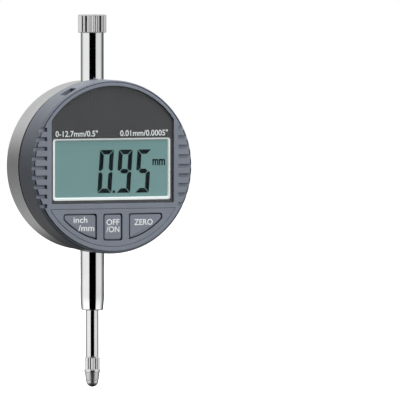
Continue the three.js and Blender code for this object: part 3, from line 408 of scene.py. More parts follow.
def ribbonFilm():
    # amber film with copper lines along it
    paint = newFinish("ribbonFilm")
    parts = paint.node("ShaderNodeSeparateXYZ", {}, {"Vector": paint.place()}, "Y")
    wave = paint.node("ShaderNodeMath", {"operation": "SINE"}, {0: parts * 12000.0})
    line = paint.between(wave, 0.0, 1.0)
    return paint.set(
        Base_Color=paint.mix(line, (0.42, 0.13, 0.02), (0.62, 0.3, 0.1)),
        Roughness=paint.between(paint.noise(800.0), 0.25, 0.4),
        Normal=paint.bump(wave, 0.1, 0.01),
    ).owner


finishes["lens_clear"] = clearLens()
finishes["lcd_glass"] = lcdGlass()
finishes["circuit_board"] = circuitBoard()
finishes["ribbon_film"] = ribbonFilm()

for entry in frame["record"]["subparts"]:
    node = frame["nodes"][entry["node"]]
    node.data.materials.clear()
    node.data.materials.append(finishes[entry["material_slot"]])
print("finishes:", len(finishes))


# ---- mesh tools
def makePiece(name, bm, sharp=32):
    bmesh.ops.remove_doubles(bm, verts=bm.verts, dist=1e-5)
    bmesh.ops.recalc_face_normals(bm, faces=bm.faces)
    mesh = bpy.data.meshes.new(name)
    bm.to_mesh(mesh)
    bm.free()
    piece = bpy.data.objects.new(name, mesh)
    bpy.context.scene.collection.objects.link(piece)
    shade(piece, sharp)
    return piece


def shade(piece, sharp=32):
    piece.data.polygons.foreach_set("use_smooth", [True] * len(piece.data.polygons))
    piece.data.set_sharp_from_angle(angle=math.radians(sharp))


def dress(piece, body, slot, *nodes, material=None):
    # into metres, with the slot's finish unless another is given
    piece.data.transform(Matrix.Scale(mm, 4))
    piece.modifiers.new("normals", "WEIGHTED_NORMAL").keep_sharp = True
    piece.data.materials.clear()
    piece.data.materials.append(material or finishes[slot])
    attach(piece, body)
    if nodes:
        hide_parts(*nodes)
    return piece


def filleted(points, radius, steps=3):
    # rounds a closed outline's corners; a point's third value is its own radius
    result = []
    for i, point in enumerate(points):
        corner = Vector(point[:2])
        own = point[2] if len(point) > 2 else radius
        before = Vector(points[i - 1][:2]) - corner
        after = Vector(points[(i + 1) % len(points)][:2]) - corner
        reach = min(own, before.length * 0.45, after.length * 0.45)
        if reach < 1e-4:
            result.append(corner)
            continue
        start = corner + before.normalized() * reach
        end = corner + after.normalized() * reach
        for k in range(steps + 1):
            t = k / steps
            result.append(start * (1 - t) ** 2 + corner * 2 * t * (1 - t) + end * t**2)
    return result


def turned(name, profile, axis="Z", sides=160, wave=None, sharp=32, centre=(0, 0)):
    # a closed profile of (radius, along) turned about the spindle's axis, or about the face's with axis Y
    bm = bmesh.new()
    rings = []
    for radius, along in profile:
        count = sides if radius > 1e-6 else 1
        ring = []
        for k in range(count):
            angle = 2 * math.pi * k / count
            reach = radius - (wave(angle, radius, along) if wave else 0)
            if axis == "Z":
                place = (reach * math.cos(angle), reach * math.sin(angle), along)
            else:
                place = (centre[0] + reach * math.sin(angle), along, faceZ + centre[1] + reach * math.cos(angle))
            ring.append(bm.verts.new(place))
        rings.append(ring)
    for first, second in zip(rings, rings[1:] + rings[:1]):
        for k in range(max(len(first), len(second))):
            corners = []
            for ring, step in ((first, k), (first, k + 1), (second, k + 1), (second, k)):
                vert = ring[step % len(ring)]
                if vert not in corners:
                    corners.append(vert)
            if len(corners) > 2:
                bm.faces.new(corners)
    return makePiece(name, bm, sharp)


def bridge(bm, loops):
    # closed skin over a row of loops, capped at both ends
    for first, second in zip(loops, loops[1:]):
        for k in range(len(first)):
            following = (k + 1) % len(first)
            bm.faces.new((first[k], first[following], second[following], second[k]))
    bm.faces.new(loops[0])
    bm.faces.new(loops[-1])


def slab(name, outline, front, back, edge=0.0, axis="Y", sharp=32):
    # an outline on the face, or from the side with axis X, made solid; edge rounds its front
    bm = bmesh.new()
    loops = []
    for depth in (front, back):
        loop = []
        for across, up in outline:
            place = (across, depth, faceZ + up) if axis == "Y" else (depth, across, faceZ + up)
            loop.append(bm.verts.new(place))
        loops.append(loop)
    bridge(bm, loops)
    bmesh.ops.recalc_face_normals(bm, faces=bm.faces)
    if edge:
        rounded = loops if axis == "X" else loops[:1]
        rim = [e for e in bm.edges if any(e.verts[0] in loop and e.verts[1] in loop for loop in rounded)]
        bmesh.ops.bevel(bm, geom=rim, offset=edge, segments=3, profile=0.5, affect="EDGES")
    return makePiece(name, bm, sharp)


def bar(name, left, right, front, back, low, high):
    outline = [(left, low), (right, low), (right, high), (left, high)]
    return slab(name, outline, front, back)


def swing(piece, angle):
    # turns a piece about the middle of the face, clockwise
    centre = Matrix.Translation((0, 0, faceZ))
    piece.data.transform(centre @ Matrix.Rotation(math.radians(angle), 4, "Y") @ centre.inverted())
    return piece


def joined(name, pieces):
    bm = bmesh.new()
    for piece in pieces:
        bm.from_mesh(piece.data)
        bpy.data.objects.remove(piece)
    mesh = bpy.data.meshes.new(name)
    bm.to_mesh(mesh)
    bm.free()
    whole = bpy.data.objects.new(name, mesh)
    bpy.context.scene.collection.objects.link(whole)
    return whole


def carve(piece, tools, operation="DIFFERENCE", sharp=32):
    for tool in tools:
        step = piece.modifiers.new("carve", "BOOLEAN")
        step.operation = operation
        step.solver = "MANIFOLD"
        step.object = tool
    bpy.context.view_layer.update()
    shaped = piece.evaluated_get(bpy.context.evaluated_depsgraph_get())
    mesh = bpy.data.meshes.new_from_object(shaped)
    piece.modifiers.clear()
    piece.data = mesh
    for tool in tools:
        bpy.data.objects.remove(tool)
    shade(piece, sharp)
    return piece


def arc(radius, start, end, steps):
    # points on the face from one clock angle to another
    points = []
    for k in range(steps + 1):
        angle = math.radians(start + (end - start) * k / steps)
        points.append((radius * math.sin(angle), radius * math.cos(angle)))
    return points


def disc(x, z, radius, sides):
    return [(x + radius * u, z + radius * v) for u, v in arc(1, 0, 360 - 360 / sides, sides - 1)]


def lettering(name, words, area, y, body, slot="white_plastic", ink="white_ink", bold=0.012):
    # words fitted to an area of the face: left, right, low, high
    left, right, low, high = area
    text = bpy.data.curves.new(name, "FONT")
    text.body = words
    text.resolution_u = 4
    text.offset = bold
    source = bpy.data.objects.new(name, text)
    bpy.context.scene.collection.objects.link(source)
    bpy.context.view_layer.update()
    mesh = bpy.data.meshes.new_from_object(source.evaluated_get(bpy.context.evaluated_depsgraph_get()))
    bpy.data.objects.remove(source)
    bm = bmesh.new()
    bm.from_mesh(mesh)
    xs = [v.co.x for v in bm.verts]
    ys = [v.co.y for v in bm.verts]
    wide = (right - left) / (max(xs) - min(xs))
    tall = (high - low) / (max(ys) - min(ys))
    for v in bm.verts:
        v.co = ((v.co.x - min(xs)) * wide + left, y, (v.co.y - min(ys)) * tall + low + faceZ)
    made = bmesh.ops.extrude_face_region(bm, geom=bm.faces[:])
    for item in made["geom"]:
        if isinstance(item, bmesh.types.BMVert):
            item.co.y -= 0.012
    return dress(makePiece(name, bm), body, slot, material=finishes[ink])


# ---- stem, sleeve and cap
sleeveLow, sleeveHigh = box("top_sleeve")
stemLow, stemHigh = box("stem")
capLow, capHigh = box("top_cap")
rodLow, rodHigh = box("spindle_rod")
bushHigh = box("lower_bushing")[1]
fit = 0.03  # clearance round a tube
tubeBore = bushHigh.x + fit
stem = {"tip": 3.7, "taper": 3.7, "taperRound": 1.2, "chamfer": (0.2, 0.3), "edge": 0.25}
sleeve = {
    "neck": 3.4, "neckLength": 3.75, "pitch": 0.5, "thread": 0.18, "threadStart": 0.3, "chamfer": 0.2, "edge": 0.06,
}


def makeStem():
    radius = stemHigh.x
    inset, rise = stem["chamfer"]
    profile = [
        (tubeBore, stemLow.z),
        (stem["tip"] - inset, stemLow.z),
        (stem["tip"], stemLow.z + rise),
        (radius, stemLow.z + stem["taper"], stem["taperRound"]),
        (radius, stemHigh.z),
        (tubeBore, stemHigh.z),
    ]
    piece = turned("stem_tube", filleted(profile, stem["edge"]), sharp=40)
    return dress(piece, "housing", "chrome", "stem")


def makeSleeve():
    radius = sleeveHigh.x
    neck = sleeve["neck"]
    neckStart = sleeveHigh.z - sleeve["neckLength"]
    profile = [(tubeBore, sleeveLow.z), (radius, sleeveLow.z), (radius, neckStart), (neck, neckStart)]
    turns = int((sleeve["neckLength"] - 2 * sleeve["threadStart"]) / sleeve["pitch"])
    for k in range(turns):
        z = neckStart + sleeve["threadStart"] + k * sleeve["pitch"]
        profile += [(neck, z), (neck - sleeve["thread"], z + sleeve["pitch"] / 2)]
    profile += [(neck - sleeve["chamfer"], sleeveHigh.z), (tubeBore, sleeveHigh.z)]
    piece = turned("sleeve_tube", filleted(profile, sleeve["edge"]))
    return dress(piece, "housing", "chrome", "top_sleeve")


def knurl(count, depth, angle):
    # how deep a straight knurl is at an angle
    return depth * (0.5 - 0.5 * math.cos(count * angle)) ** 0.8


cap = {
    "ridges": 20, "ridgeDepth": 0.4, "plainBand": 0.25, "crown": 0.22, "bore": 3.5, "roof": 1.6,
    "rim": 0.3, "step": 0.03, "fade": 0.12, "foot": (0.2, 0.1), "dish": 0.12, "dishEdge": (1.3, 1.1), "edge": 0.06,
}


def makeCap():
    # straight knurling between two plain edges, and a slightly dished top
    radius = capHigh.x
    low, high = capLow.z, capHigh.z
    band, fade, crown, roof = cap["plainBand"], cap["fade"], cap["crown"], high - cap["roof"]

    def ridge(angle, reach, z):
        if reach < radius - cap["rim"] or not low + band < z < high - band:
            return 0
        return knurl(cap["ridges"], cap["ridgeDepth"], angle)

    outside = [(radius - crown, high), (radius - cap["step"], high - crown)]
    outside += [(radius, high - band), (radius, high - band - fade)]
    outside += [(radius, low + band + fade), (radius, low + band)]
    outside += [(radius - cap["step"], low + cap["foot"][1]), (radius - cap["foot"][0], low)]
    inside = [(cap["bore"], low), (cap["bore"], roof), (0, roof)]
    floor, rim = cap["dishEdge"]
    top = [(0, high - cap["dish"]), (radius - floor, high - cap["dish"]), (radius - rim, high)]
    profile = filleted(top + outside + inside, cap["edge"], 2)
    piece = turned("knurled_cap", profile, sides=cap["ridges"] * 14, wave=ridge, sharp=50)
    return dress(piece, "housing", "chrome", "top_cap", material=finishes["satin_steel"])


makeStem()
makeSleeve()
makeCap()
print("stem, sleeve and cap")


# ---- spindle, contact point and spring
tipLow, tipHigh = box("contact_tip")
holderLow, holderHigh = box("contact_holder")
rod = {"stud": 1.2, "studLength": 2.2, "edge": 0.2}
contact = {
    "ridges": 22, "ridgeDepth": 0.16, "knurl": 2.6, "knurlLength": 4.45, "knurlMargin": 0.35, "topChamfer": 0.25,
    "plainEnd": (0.42, 0.2), "neck": (0.12, 0.05), "collar": 0.45, "coneTop": (2.5, 0.1), "coneTip": 0.05,
    "seat": 1.03, "seatDepth": 1.6, "edge": 0.05,
}


def makeSpindle():
    radius = rodHigh.x
    studLow = rodHigh.z - rod["studLength"]
    stud = rod["stud"]
    profile = [(0, rodLow.z), (radius, rodLow.z), (radius, studLow)]
    profile += [(stud, studLow), (stud, rodHigh.z), (0, rodHigh.z)]
    piece = turned("spindle_shaft", filleted(profile, rod["edge"]), sides=96)
    return dress(piece, "spindle", "chrome", "spindle_rod")


def makeContact():
    # straight knurl, collar and cone, with room in its end for the hardened nose
    top = holderHigh.z
    knurlEnd = top - contact["knurlLength"]
    collarEnd = knurlEnd - contact["collar"]
    radius = contact["knurl"]
    collarRadius = holderHigh.x
    chamfer = contact["topChamfer"]
    margin = contact["knurlMargin"]
    fade, plain = contact["plainEnd"]
    neckInset, neckRise = contact["neck"]
    coneRadius, coneDrop = contact["coneTop"]
    seat, seatTop = contact["seat"], holderLow.z + contact["seatDepth"]

    def ridge(angle, reach, z):
        if reach < radius - 0.05 or not knurlEnd + margin < z < top - margin:
            return 0
        return knurl(contact["ridges"], contact["ridgeDepth"], angle)

    profile = [(0, top), (radius - chamfer, top), (radius, top - chamfer)]
    profile += [(radius, top - fade), (radius, knurlEnd + fade), (radius, knurlEnd + plain)]
    profile += [(radius - neckInset, knurlEnd + neckRise), (collarRadius, knurlEnd), (collarRadius, collarEnd)]
    profile += [(coneRadius, collarEnd - coneDrop), (tipHigh.x + contact["coneTip"], holderLow.z)]
    profile += [(seat, holderLow.z), (seat, seatTop), (0, seatTop)]
    profile = filleted(profile, contact["edge"], 2)
    piece = turned("contact_body", profile, sides=contact["ridges"] * 12, wave=ridge, sharp=50)
    dress(piece, "spindle", "chrome", "contact_holder")
    piece.data.materials.append(finishes["ground_steel"])
    for face in piece.data.polygons:  # the cone is left ground
        if face.center.z / mm < collarEnd - 0.02:
            face.material_index = 1
    return piece


def makeNose():
    radius = tipHigh.x
    seat = tipLow.z + radius
    shank = contact["seat"] - fit
    profile = []
    for k in range(17):
        angle = math.pi / 2 * k / 16
        profile.append((radius * math.sin(angle), seat - radius * math.cos(angle)))
    profile += [(shank, seat), (shank, tipHigh.z), (0, tipHigh.z)]
    piece = turned("contact_nose", profile, sides=96, sharp=50)
    return dress(piece, "spindle", "chrome", "contact_tip", material=finishes["ground_steel"])


spring = {"turns": 11, "steps": 20, "sides": 10, "wire": 0.25, "endTurns": 1.2, "stroke": 12.7}


def makeSpring():
    # helix with closed ends; on the real tool it shortens as the spindle goes up, here it keeps one length
    low, high = box("return_spring")
    wire = spring["wire"]
    radius = high.x - wire
    length = high.z - low.z - 2 * wire
    ends = spring["endTurns"]
    closed = ends * 2 * wire
    bm = bmesh.new()
    rings = []
    for k in range(spring["turns"] * spring["steps"] + 1):
        turns = k / spring["steps"]
        inner = (turns - ends) / (spring["turns"] - 2 * ends)
        z = closed + (length - 2 * closed) * inner
        if inner < 0:
            z = turns * 2 * wire
        elif inner > 1:
            z = length - (spring["turns"] - turns) * 2 * wire
        angle = 2 * math.pi * turns
        out = Vector((math.cos(angle), math.sin(angle), 0))
        middle = out * radius + Vector((0, 0, low.z + wire + z))
        ring = []
        for n in range(spring["sides"]):
            roll = 2 * math.pi * n / spring["sides"]
            ring.append(bm.verts.new(middle + out * wire * math.cos(roll) + Vector((0, 0, wire * math.sin(roll)))))
        rings.append(ring)
    bridge(bm, rings)
    piece = dress(makePiece("spring_coil", bm, 50), "housing", "steel", "return_spring")
    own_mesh(piece)


makeSpindle()
makeContact()
makeNose()
makeSpring()
print("spindle, contact point and spring")


# ---- case, back plate and lug
plateLow, plateHigh = box("back_plate")
baseLow, baseHigh = box("head_base")
lugLow, lugHigh = box("lug")
caseShape = {
    "wall": 2.0, "web": 1.4, "seam": 0.45, "rimChamfer": 0.4, "recess": 0.95, "recessBack": 2.0, "cableHole": 6,
    "hub": 18, "hubWall": 2.0, "hubLip": 0.8, "hubNeck": 16.9, "groove": 0.75, "grooveHalf": 0.5, "fit": 0.05,
    "bossHalf": 6.5, "bossDepth": 4.7, "bossSkin": 1.85, "bossFoot": 0.2, "screwBoss": 2.4, "screwInset": 4,
    "rib": (21, 23), "ribHeight": 1.05, "ribStart": 185.5, "ribEnd": 264.5,
    "stemHole": (0, 20), "sleeveHole": (52, 75),
}


def makeCase():
    shape = caseShape
    radius = caseHigh.x
    inside = radius - shape["wall"]
    front = shellHigh.y + shape["seam"]
    webBack = front + shape["web"]
    back = caseHigh.y
    seat = plateLow.y - shape["fit"]
    plateHole = plateHigh.x + shape["fit"]
    hubFront = caseLow.y
    hubStep = hubFront + shape["hubLip"]
    hub, hubBore, neck = shape["hub"], shape["hub"] - shape["hubWall"], shape["hubNeck"]
    middle = (baseLow.y + baseHigh.y) / 2
    grooveFront, grooveBack = middle - shape["grooveHalf"], middle + shape["grooveHalf"]
    grooveFloor = hub - shape["groove"]
    recessBack = front + shape["recessBack"]
    profile = [(shape["cableHole"], front), (hubBore, front), (hubBore, hubFront), (neck, hubFront)]
    profile += [(neck, hubStep), (hub, hubStep), (hub, grooveFront), (grooveFloor, grooveFront)]
    profile += [(grooveFloor, grooveBack), (hub, grooveBack), (hub, front), (radius - shape["recess"], front)]
    profile += [
        (radius - shape["recess"], recessBack, 0.05),
        (radius - 0.1, recessBack, 0.04),
        (radius, recessBack + 0.1, 0.04),
        (radius, back - shape["rimChamfer"], 0.15),
        (radius - shape["rimChamfer"], back),
    ]
    profile += [(plateHole, back), (plateHole, seat), (inside, seat)]
    profile += [(inside, webBack), (shape["cableHole"], webBack)]
    piece = turned("case_body", filleted(profile, 0.08, 2), axis="Y", sides=192)
    foot = shape["bossFoot"]
    half = shape["bossHalf"]
    reach = radius - shape["bossSkin"]
    bosses = []
    for side in (-1, 1):
        near, far = sorted((side * (inside - shape["bossDepth"]), side * reach))
        bosses.append(bar("boss", -half, half, webBack - foot, seat - 0.1, near, far))
    for angle in (45, 135, 225, 315):
        x, z = arc(plateHigh.x - shape["screwInset"], angle, angle, 1)[0]
        bosses.append(slab("boss", disc(x, z, shape["screwBoss"], 16), webBack - foot, seat))
    ribIn, ribOut = shape["rib"]
    rib = arc(ribOut, shape["ribStart"], shape["ribEnd"], 24) + arc(ribIn, shape["ribEnd"], shape["ribStart"], 24)
    bosses.append(slab("rib", rib, front - shape["ribHeight"], front + foot))
    carve(piece, [joined("bosses", bosses)], "UNION")
    holes = []
    for tube, (low, high) in ((stemHigh.x, shape["stemHole"]), (sleeveHigh.x, shape["sleeveHole"])):
        holes.append(turned("hole", [(0, low), (tube + fit, low), (tube + fit, high), (0, high)], sides=96))
    carve(piece, [joined("holes", holes)])
    dress(piece, "housing", "case_metal", "case_ring")
    # second finish, black: painted shade for the recess behind the shell
    piece.data.materials.append(finishes["dark_plastic"])
    for face in piece.data.polygons:  # the faces in the gap under the head get a black finish: painted shade for the shadow in that gap
        reach = math.hypot(face.center.x, face.center.z - faceZ * mm) / mm
        if hub < reach < radius - 0.05 and face.center.y / mm < recessBack + 0.05:
            face.material_index = 1
    return piece


plate = {
    "edge": 0.3, "screwHead": 0.6, "screwShank": 0.8, "screwRound": 0.12, "slotWidth": 0.44, "slotDepth": 0.32,
    "firstTurn": 25, "nextTurn": 40, "sink": 0.72, "hole": 0.85, "fit": 0.05,
}
lug = {
    "halfWidth": 8, "arcRadius": 9, "halfThickness": 3, "hole": 3.25, "holeHeight": 7.5, "baseStep": 1.1,
    "root": 0.4, "edge": 0.35,
}


def middleOf(low, high):
    # where a round node stands on the face, and its radius
    return (low.x + high.x) / 2, (low.z + high.z) / 2 - faceZ, (high.x - low.x) / 2


def makePlate():
    hub = (lugHigh.x - lugLow.x) / 2 + fit
    radius = plateHigh.x
    back = plateHigh.y
    edge = plate["edge"]
    profile = [(hub, plateLow.y), (radius, plateLow.y)]
    profile += [(radius, back - edge, 0.1), (radius - edge, back, 0.1), (hub, back)]
    piece = turned("plate_disc", filleted(profile, 0.06), axis="Y", sides=192)
    tools = []
    for i in range(1, 5):
        x, z, reach = middleOf(*box(f"plate_screw_{i}"))
        narrow = disc(x, z, plate["hole"], 24)
        tools.append(slab("sink", disc(x, z, reach + plate["fit"], 48), back - plate["sink"], back + 1))
        tools.append(slab("hole", narrow, plateLow.y - 1, back - 0.9))
        tools.append(slab("hole", narrow, back - 1, back - plate["sink"] + 0.01))
    carve(piece, tools)
    return dress(piece, "housing", "plate_metal", "back_plate")


def makeLug():
    baseRadius = (lugHigh.x - lugLow.x) / 2
    baseBack = plateHigh.y + lug["baseStep"]
    profile = [(0, plateLow.y), (baseRadius, plateLow.y), (baseRadius, baseBack), (0, baseBack)]
    piece = turned("lug_body", filleted(profile, lug["edge"]), axis="Y", sides=128)
    radius, width, thick = lug["arcRadius"], lug["halfWidth"], lug["halfThickness"]
    middle = lugHigh.y - radius
    corner = math.degrees(math.asin(width / radius))
    root = baseBack - lug["root"]
    outline = [(root, -width)]
    for k in range(41):
        angle = math.radians(-corner + 2 * corner * k / 40)
        outline.append((middle + radius * math.cos(angle), radius * math.sin(angle)))
    outline.append((root, width))
    carve(piece, [slab("tongue", outline, -thick, thick, edge=lug["edge"], axis="X")], "UNION")
    hole = disc(baseBack + lug["holeHeight"], 0, lug["hole"], 64)
    carve(piece, [slab("hole", hole, -radius, radius, axis="X")])
    return dress(piece, "housing", "plate_metal", "lug")


def makePlateScrew(i):
    # slotted head, shank behind it
    low, high = box(f"plate_screw_{i}")
    x, z, radius = middleOf(low, high)
    headBack = high.y - plate["screwHead"]
    shank = plate["screwShank"]
    profile = [(0, high.y), (radius, high.y), (radius, headBack), (shank, headBack), (shank, low.y), (0, low.y)]
    profile = filleted(profile, plate["screwRound"])
    piece = turned(f"plate_screw_head_{i}", profile, axis="Y", sides=40, centre=(x, z))
    half = plate["slotWidth"] / 2
    slot = bar("slot", -3, 3, high.y - plate["slotDepth"], high.y + 1, -half, half)
    turn = Matrix.Rotation(math.radians(plate["firstTurn"] + plate["nextTurn"] * i), 4, "Y")
    slot.data.transform(Matrix.Translation((x, 0, z + faceZ)) @ turn @ Matrix.Translation((0, 0, -faceZ)))
    carve(piece, [slot])
    return dress(piece, "housing", "steel", f"plate_screw_{i}")


makeCase()
makePlate()
makeLug()
for i in range(1, 5):
    makePlateScrew(i)
print("case, back plate and lug")


# ---- front shell
lensLow, lensHigh = box("lens")
keyNames = ["key_inch_mm", "key_on_off", "key_zero"]
keyBoxes = [box(name) for name in keyNames]
shell = {
    "wall": 1.8, "frontWall": 2.36, "chamferDepth": 1.1,
    "lip": 0.42, "lipGap": 0.48, "lipDepth": 0.95, "lipStart": 0.3,
    "post": 2, "postInset": 1.6, "postLength": 3.2, "postGap": 0.05,
    "windowGap": 0.15, "windowRim": 2.0, "windowCorner": 0.5, "ledgeDepth": 1.06, "ledge": 0.4, "arcLedge": 0.8,
    "ledgeCorner": 0.3, "cut": 4,
    "grooveRadius": 26.75, "grooveTop": -13.85, "grooveWidth": 0.26, "grooveDepth": 0.22, "grooveCorner": 1.2,
    "notches": 9, "notchPitch": 3.19, "notchHeight": 1.35, "notchDepth": 1.2, "notchStart": 23.8,
    "trayAngle": 28, "trayHalf": 6.75, "trayGap": 0.15, "portAngle": -29.5, "openingStart": 20,
}
windowArc = faceRadius - shell["windowRim"]
# the keys' outlines, with the clearance round each cap and how its front edge is rounded
keyShape = {
    "top": -15.5, "rim": 4.0, "inner": 5.8, "outer": 17.9, "half": 3.45, "step": 0.4, "corner": 0.8, "farCorner": 1.9,
    "gap": 0.4, "round": 0.3, "flangeStep": 0.45, "flange": 0.6, "flangeGap": 0.05, "plunger": 1.5,
}
port = {
    "width": 4.6, "length": 5.4, "middle": 4.7, "pocket": 2.6, "floorGap": 0.15,
    "pins": 6, "pinWidth": 0.34, "pinPitch": 0.68, "pinHeight": 0.35, "pinStart": 1.1, "pinEnd": 0.3,
}


def windowOutline(sideInset, arcInset, corner):
    # arched top on straight sides
    radius = windowArc - arcInset
    half = lensHigh.x - sideInset
    low = lensLow.z - faceZ + sideInset
    meet = math.degrees(math.asin(half / radius))
    top = arc(radius, meet, -meet, 64)
    sides = filleted([(-half, top[-1][1], 0), (-half, low, corner), (half, low, corner), (half, top[0][1], 0)], 0)
    return top + [tuple(p) for p in sides[1:-1]]


def keyOutline(side, grow):
    # -1 left, 0 middle, 1 right
    radius = faceRadius - keyShape["rim"] + grow
    top = keyShape["top"] + grow
    corner = keyShape["corner"]
    if side == 0:
        half = keyShape["half"] + grow
        low = keyShape["step"] - radius
        return filleted([(-half, low), (half, low), (half, top), (-half, top)], corner, 4)
    near = keyShape["inner"] - grow
    end = keyShape["outer"] + grow
    first = 180 - math.degrees(math.asin(near / radius))
    last = 180 - math.degrees(math.asin(end / radius))
    curve = [(x, z, corner if k == 0 else 0) for k, (x, z) in enumerate(arc(radius, first, last, 20))]
    points = [(near, top, corner)] + curve + [(end, top, keyShape["farCorner"])]
    return [(side * x, z) for x, z in filleted(points, 0, 4)][::side]


def makeShell():
    front, back = faceY, shellHigh.y
    inside = faceRadius - shell["wall"]
    frontBack = front + shell["frontWall"]
    lipFloor = front + shell["lipDepth"]
    grooveOut = faceRadius - shell["lip"]
    grooveIn = grooveOut - shell["lipGap"]
    profile = [
        (0, front),
        (grooveIn, front, 0.12),
        (grooveIn, lipFloor, 0.1),
        (grooveOut, lipFloor, 0.1),
        (grooveOut, front + shell["lipStart"], 0.06),
        (faceRadius, front + shell["chamferDepth"], 0.5),
        (faceRadius, back, 0.15),
        (inside, back, 0.1),
        (inside, frontBack, 0.3),
        (0, frontBack),
    ]
    piece = turned("shell_body", filleted(profile, 0, 4), axis="Y", sides=256, sharp=28)
    posts = []
    postBack = baseLow.y - shell["postGap"]
    for angle in (0, 90, 180, 270):
        x, z = arc(inside - shell["postInset"], angle, angle, 1)[0]
        posts.append(slab("post", disc(x, z, shell["post"], 24), postBack - shell["postLength"], postBack))
    reach = inside + 0.5
    limit = turned("limit", [(0, front), (reach, front), (reach, back), (0, back)], axis="Y", sides=96)
    posts = joined("posts", posts)
    carve(posts, [limit], "INTERSECT")
    carve(piece, [posts], "UNION")
    opening = windowOutline(-shell["windowGap"], -shell["windowGap"], shell["windowCorner"])
    throat = windowOutline(shell["ledge"], shell["arcLedge"], shell["ledgeCorner"])
    carve(piece, [slab("window", opening, front - 1, front + shell["ledgeDepth"])])
    carve(piece, [slab("window", throat, front - 1, front + shell["cut"])])
    keys = [slab("keyhole", keyOutline(side, 0), front - 1, front + shell["cut"]) for side in (-1, 0, 1)]
    carve(piece, [joined("keyholes", keys)])
    notches = []
    half = shell["notchHeight"] / 2
    for k in range(shell["notches"]):
        z = (k - (shell["notches"] - 1) / 2) * shell["notchPitch"]
        for side in (-1, 1):
            start, end = sorted((side * shell["notchStart"], side * (faceRadius + 1)))
            notches.append(bar("notch", start, end, front - 1, front + shell["notchDepth"], z - half, z + half))
    carve(piece, [joined("notches", notches)])
    carve(piece, [keyGroove()])
    trayLow, trayHigh = box("battery_tray")
    half, gap = shell["trayHalf"], shell["trayGap"]
    start, end = shell["openingStart"], faceRadius + 1
    slot = bar("slot", -half, half, trayLow.y - gap, trayHigh.y + gap, start, end)
    middle = front + port["middle"]
    half, reach = port["width"] / 2, port["length"] / 2
    mouth = bar("port", -half, half, middle - reach, middle + reach, start, end)
    carve(piece, [joined("openings", [swing(slot, shell["trayAngle"]), swing(mouth, shell["portAngle"])])])
    return dress(piece, "head", "shell_plastic", "front_shell")


def keyGroove():
    # a fine line round the key area
    loops = []
    for inset in (0, shell["grooveWidth"]):
        radius = shell["grooveRadius"] - inset
        top = shell["grooveTop"] - inset
        meet = math.degrees(math.acos(-top / radius))
        points = [(x, z, 0) for x, z in arc(radius, 180 - meet, 180 + meet, 60)]
        points[0] = (*points[0][:2], shell["grooveCorner"])
        points[-1] = (*points[-1][:2], shell["grooveCorner"])
        loops.append(filleted(points, 0, 4))
    outer = slab("groove", loops[0], faceY - 1, faceY + shell["grooveDepth"])
    return carve(outer, [slab("grooveInner", loops[1], faceY - 2, faceY + 1)])


makeShell()
print("front shell")


# ---- window and display
maskLow, maskHigh = box("lens_mask")
holderBoxLow, holderBoxHigh = box("display_holder")
lcdLow, lcdHigh = box("lcd_panel")
display = {
    "left": 20.35, "top": 8.85, "bottom": -10.05, "border": 1.1, "flange": 0.75, "slope": 0.3, "slopeDepth": 0.42,
    "lcdGap": 0.6, "lcdMargin": 0.55, "maskRim": 0.97, "maskDrop": 0.2, "corner": 0.9, "frameCorner": 1.2,
    "lensEdge": 0.12, "frameGap": 0.1,
}


def viewOutline(margin, corner, extraTop=0.0):
    left = display["left"] + margin
    top = display["top"] + margin + extraTop
    low = display["bottom"] - margin
    return filleted([(-left, low), (left, low), (left, top), (-left, top)], corner, 5)


def makeLens():
    piece = slab("lens_sheet", windowOutline(0, 0, shell["windowCorner"]), lensLow.y, lensHigh.y, display["lensEdge"])
    return dress(piece, "head", "lens_clear", "lens")


def makeMask():
    piece = slab("lens_print", windowOutline(0, 0, shell["windowCorner"]), maskLow.y, maskHigh.y)
    view = viewOutline(display["maskRim"], display["corner"], -display["maskDrop"])
    carve(piece, [slab("view", view, maskLow.y - 1, maskHigh.y + 1)])
    return dress(piece, "head", "mask_print", "lens_mask")


def makeHolder():
    # white frame whose inner edge slopes down to the display
    front = holderBoxLow.y
    back = holderBoxHigh.y
    step = faceY + shell["frontWall"] + display["frameGap"]
    border, slope = display["border"], display["slope"]
    piece = slab("display_frame", viewOutline(border, display["frameCorner"]), front, step + 0.2)
    carve(piece, [slab("flange", viewOutline(border + display["flange"], 0.5), step, back)], "UNION")
    bm = bmesh.new()
    loops = []
    for margin, y in ((slope, front - 0.2), (slope, front), (0, front + display["slopeDepth"]), (0, back + 1)):
        loops.append([bm.verts.new((x, y, faceZ + z)) for x, z in viewOutline(margin, 0.5)])
    bridge(bm, loops)
    carve(piece, [makePiece("well", bm)])
    carve(piece, [slab("pocket", viewOutline(display["lcdGap"], 0.1), lcdLow.y - 0.03, back + 1)])
    return dress(piece, "head", "white_plastic", "display_holder")


def makeLcd():
    piece = slab("lcd_cell", viewOutline(display["lcdMargin"], 0.05), lcdLow.y, lcdHigh.y, edge=0.04)
    return dress(piece, "head", "lcd_glass", "lcd_panel")


reading = {
    "digits": "095", "left": -5.0, "bottom": -8.7, "width": 5.05, "height": 14.4, "pitch": 6.8, "stroke": 1.5,
    "gap": 0.16, "slant": 4.0, "point": 0.95, "pointSize": 0.85, "raise": (0.02, 0.004),
    "unit": ("mm", (15.0, 19.6, 0.35, 2.5)),
}
litSegments = {"0": "abcdef", "5": "acdfg", "9": "abcdfg"}


def segmentOutline(letter):
    # one bar of a seven-bar digit, on a cell from (0, 0) to (width, height)
    w, h, t, g = reading["width"], reading["height"], reading["stroke"], reading["gap"]
    half = h / 2
    top = [(g, h), (w - g, h), (w - t - g, h - t), (t + g, h - t)]
    left = [(0, h - g), (t, h - t - g), (t, half + t / 2 + g), (t * 0.45, half + g), (0, half + g + 0.25)]
    middle = [(t * 0.5 + g, half), (t + g, half + t / 2), (w - t - g, half + t / 2)]
    middle += [(w - x, h - z) for x, z in middle]
    if letter == "a":
        return top
    if letter == "g":
        return middle
    if letter == "d":
        return [(x, h - z) for x, z in top]
    if letter in "bc":
        left = [(w - x, z) for x, z in left]
    if letter in "ce":
        left = [(x, h - z) for x, z in left]
    return left


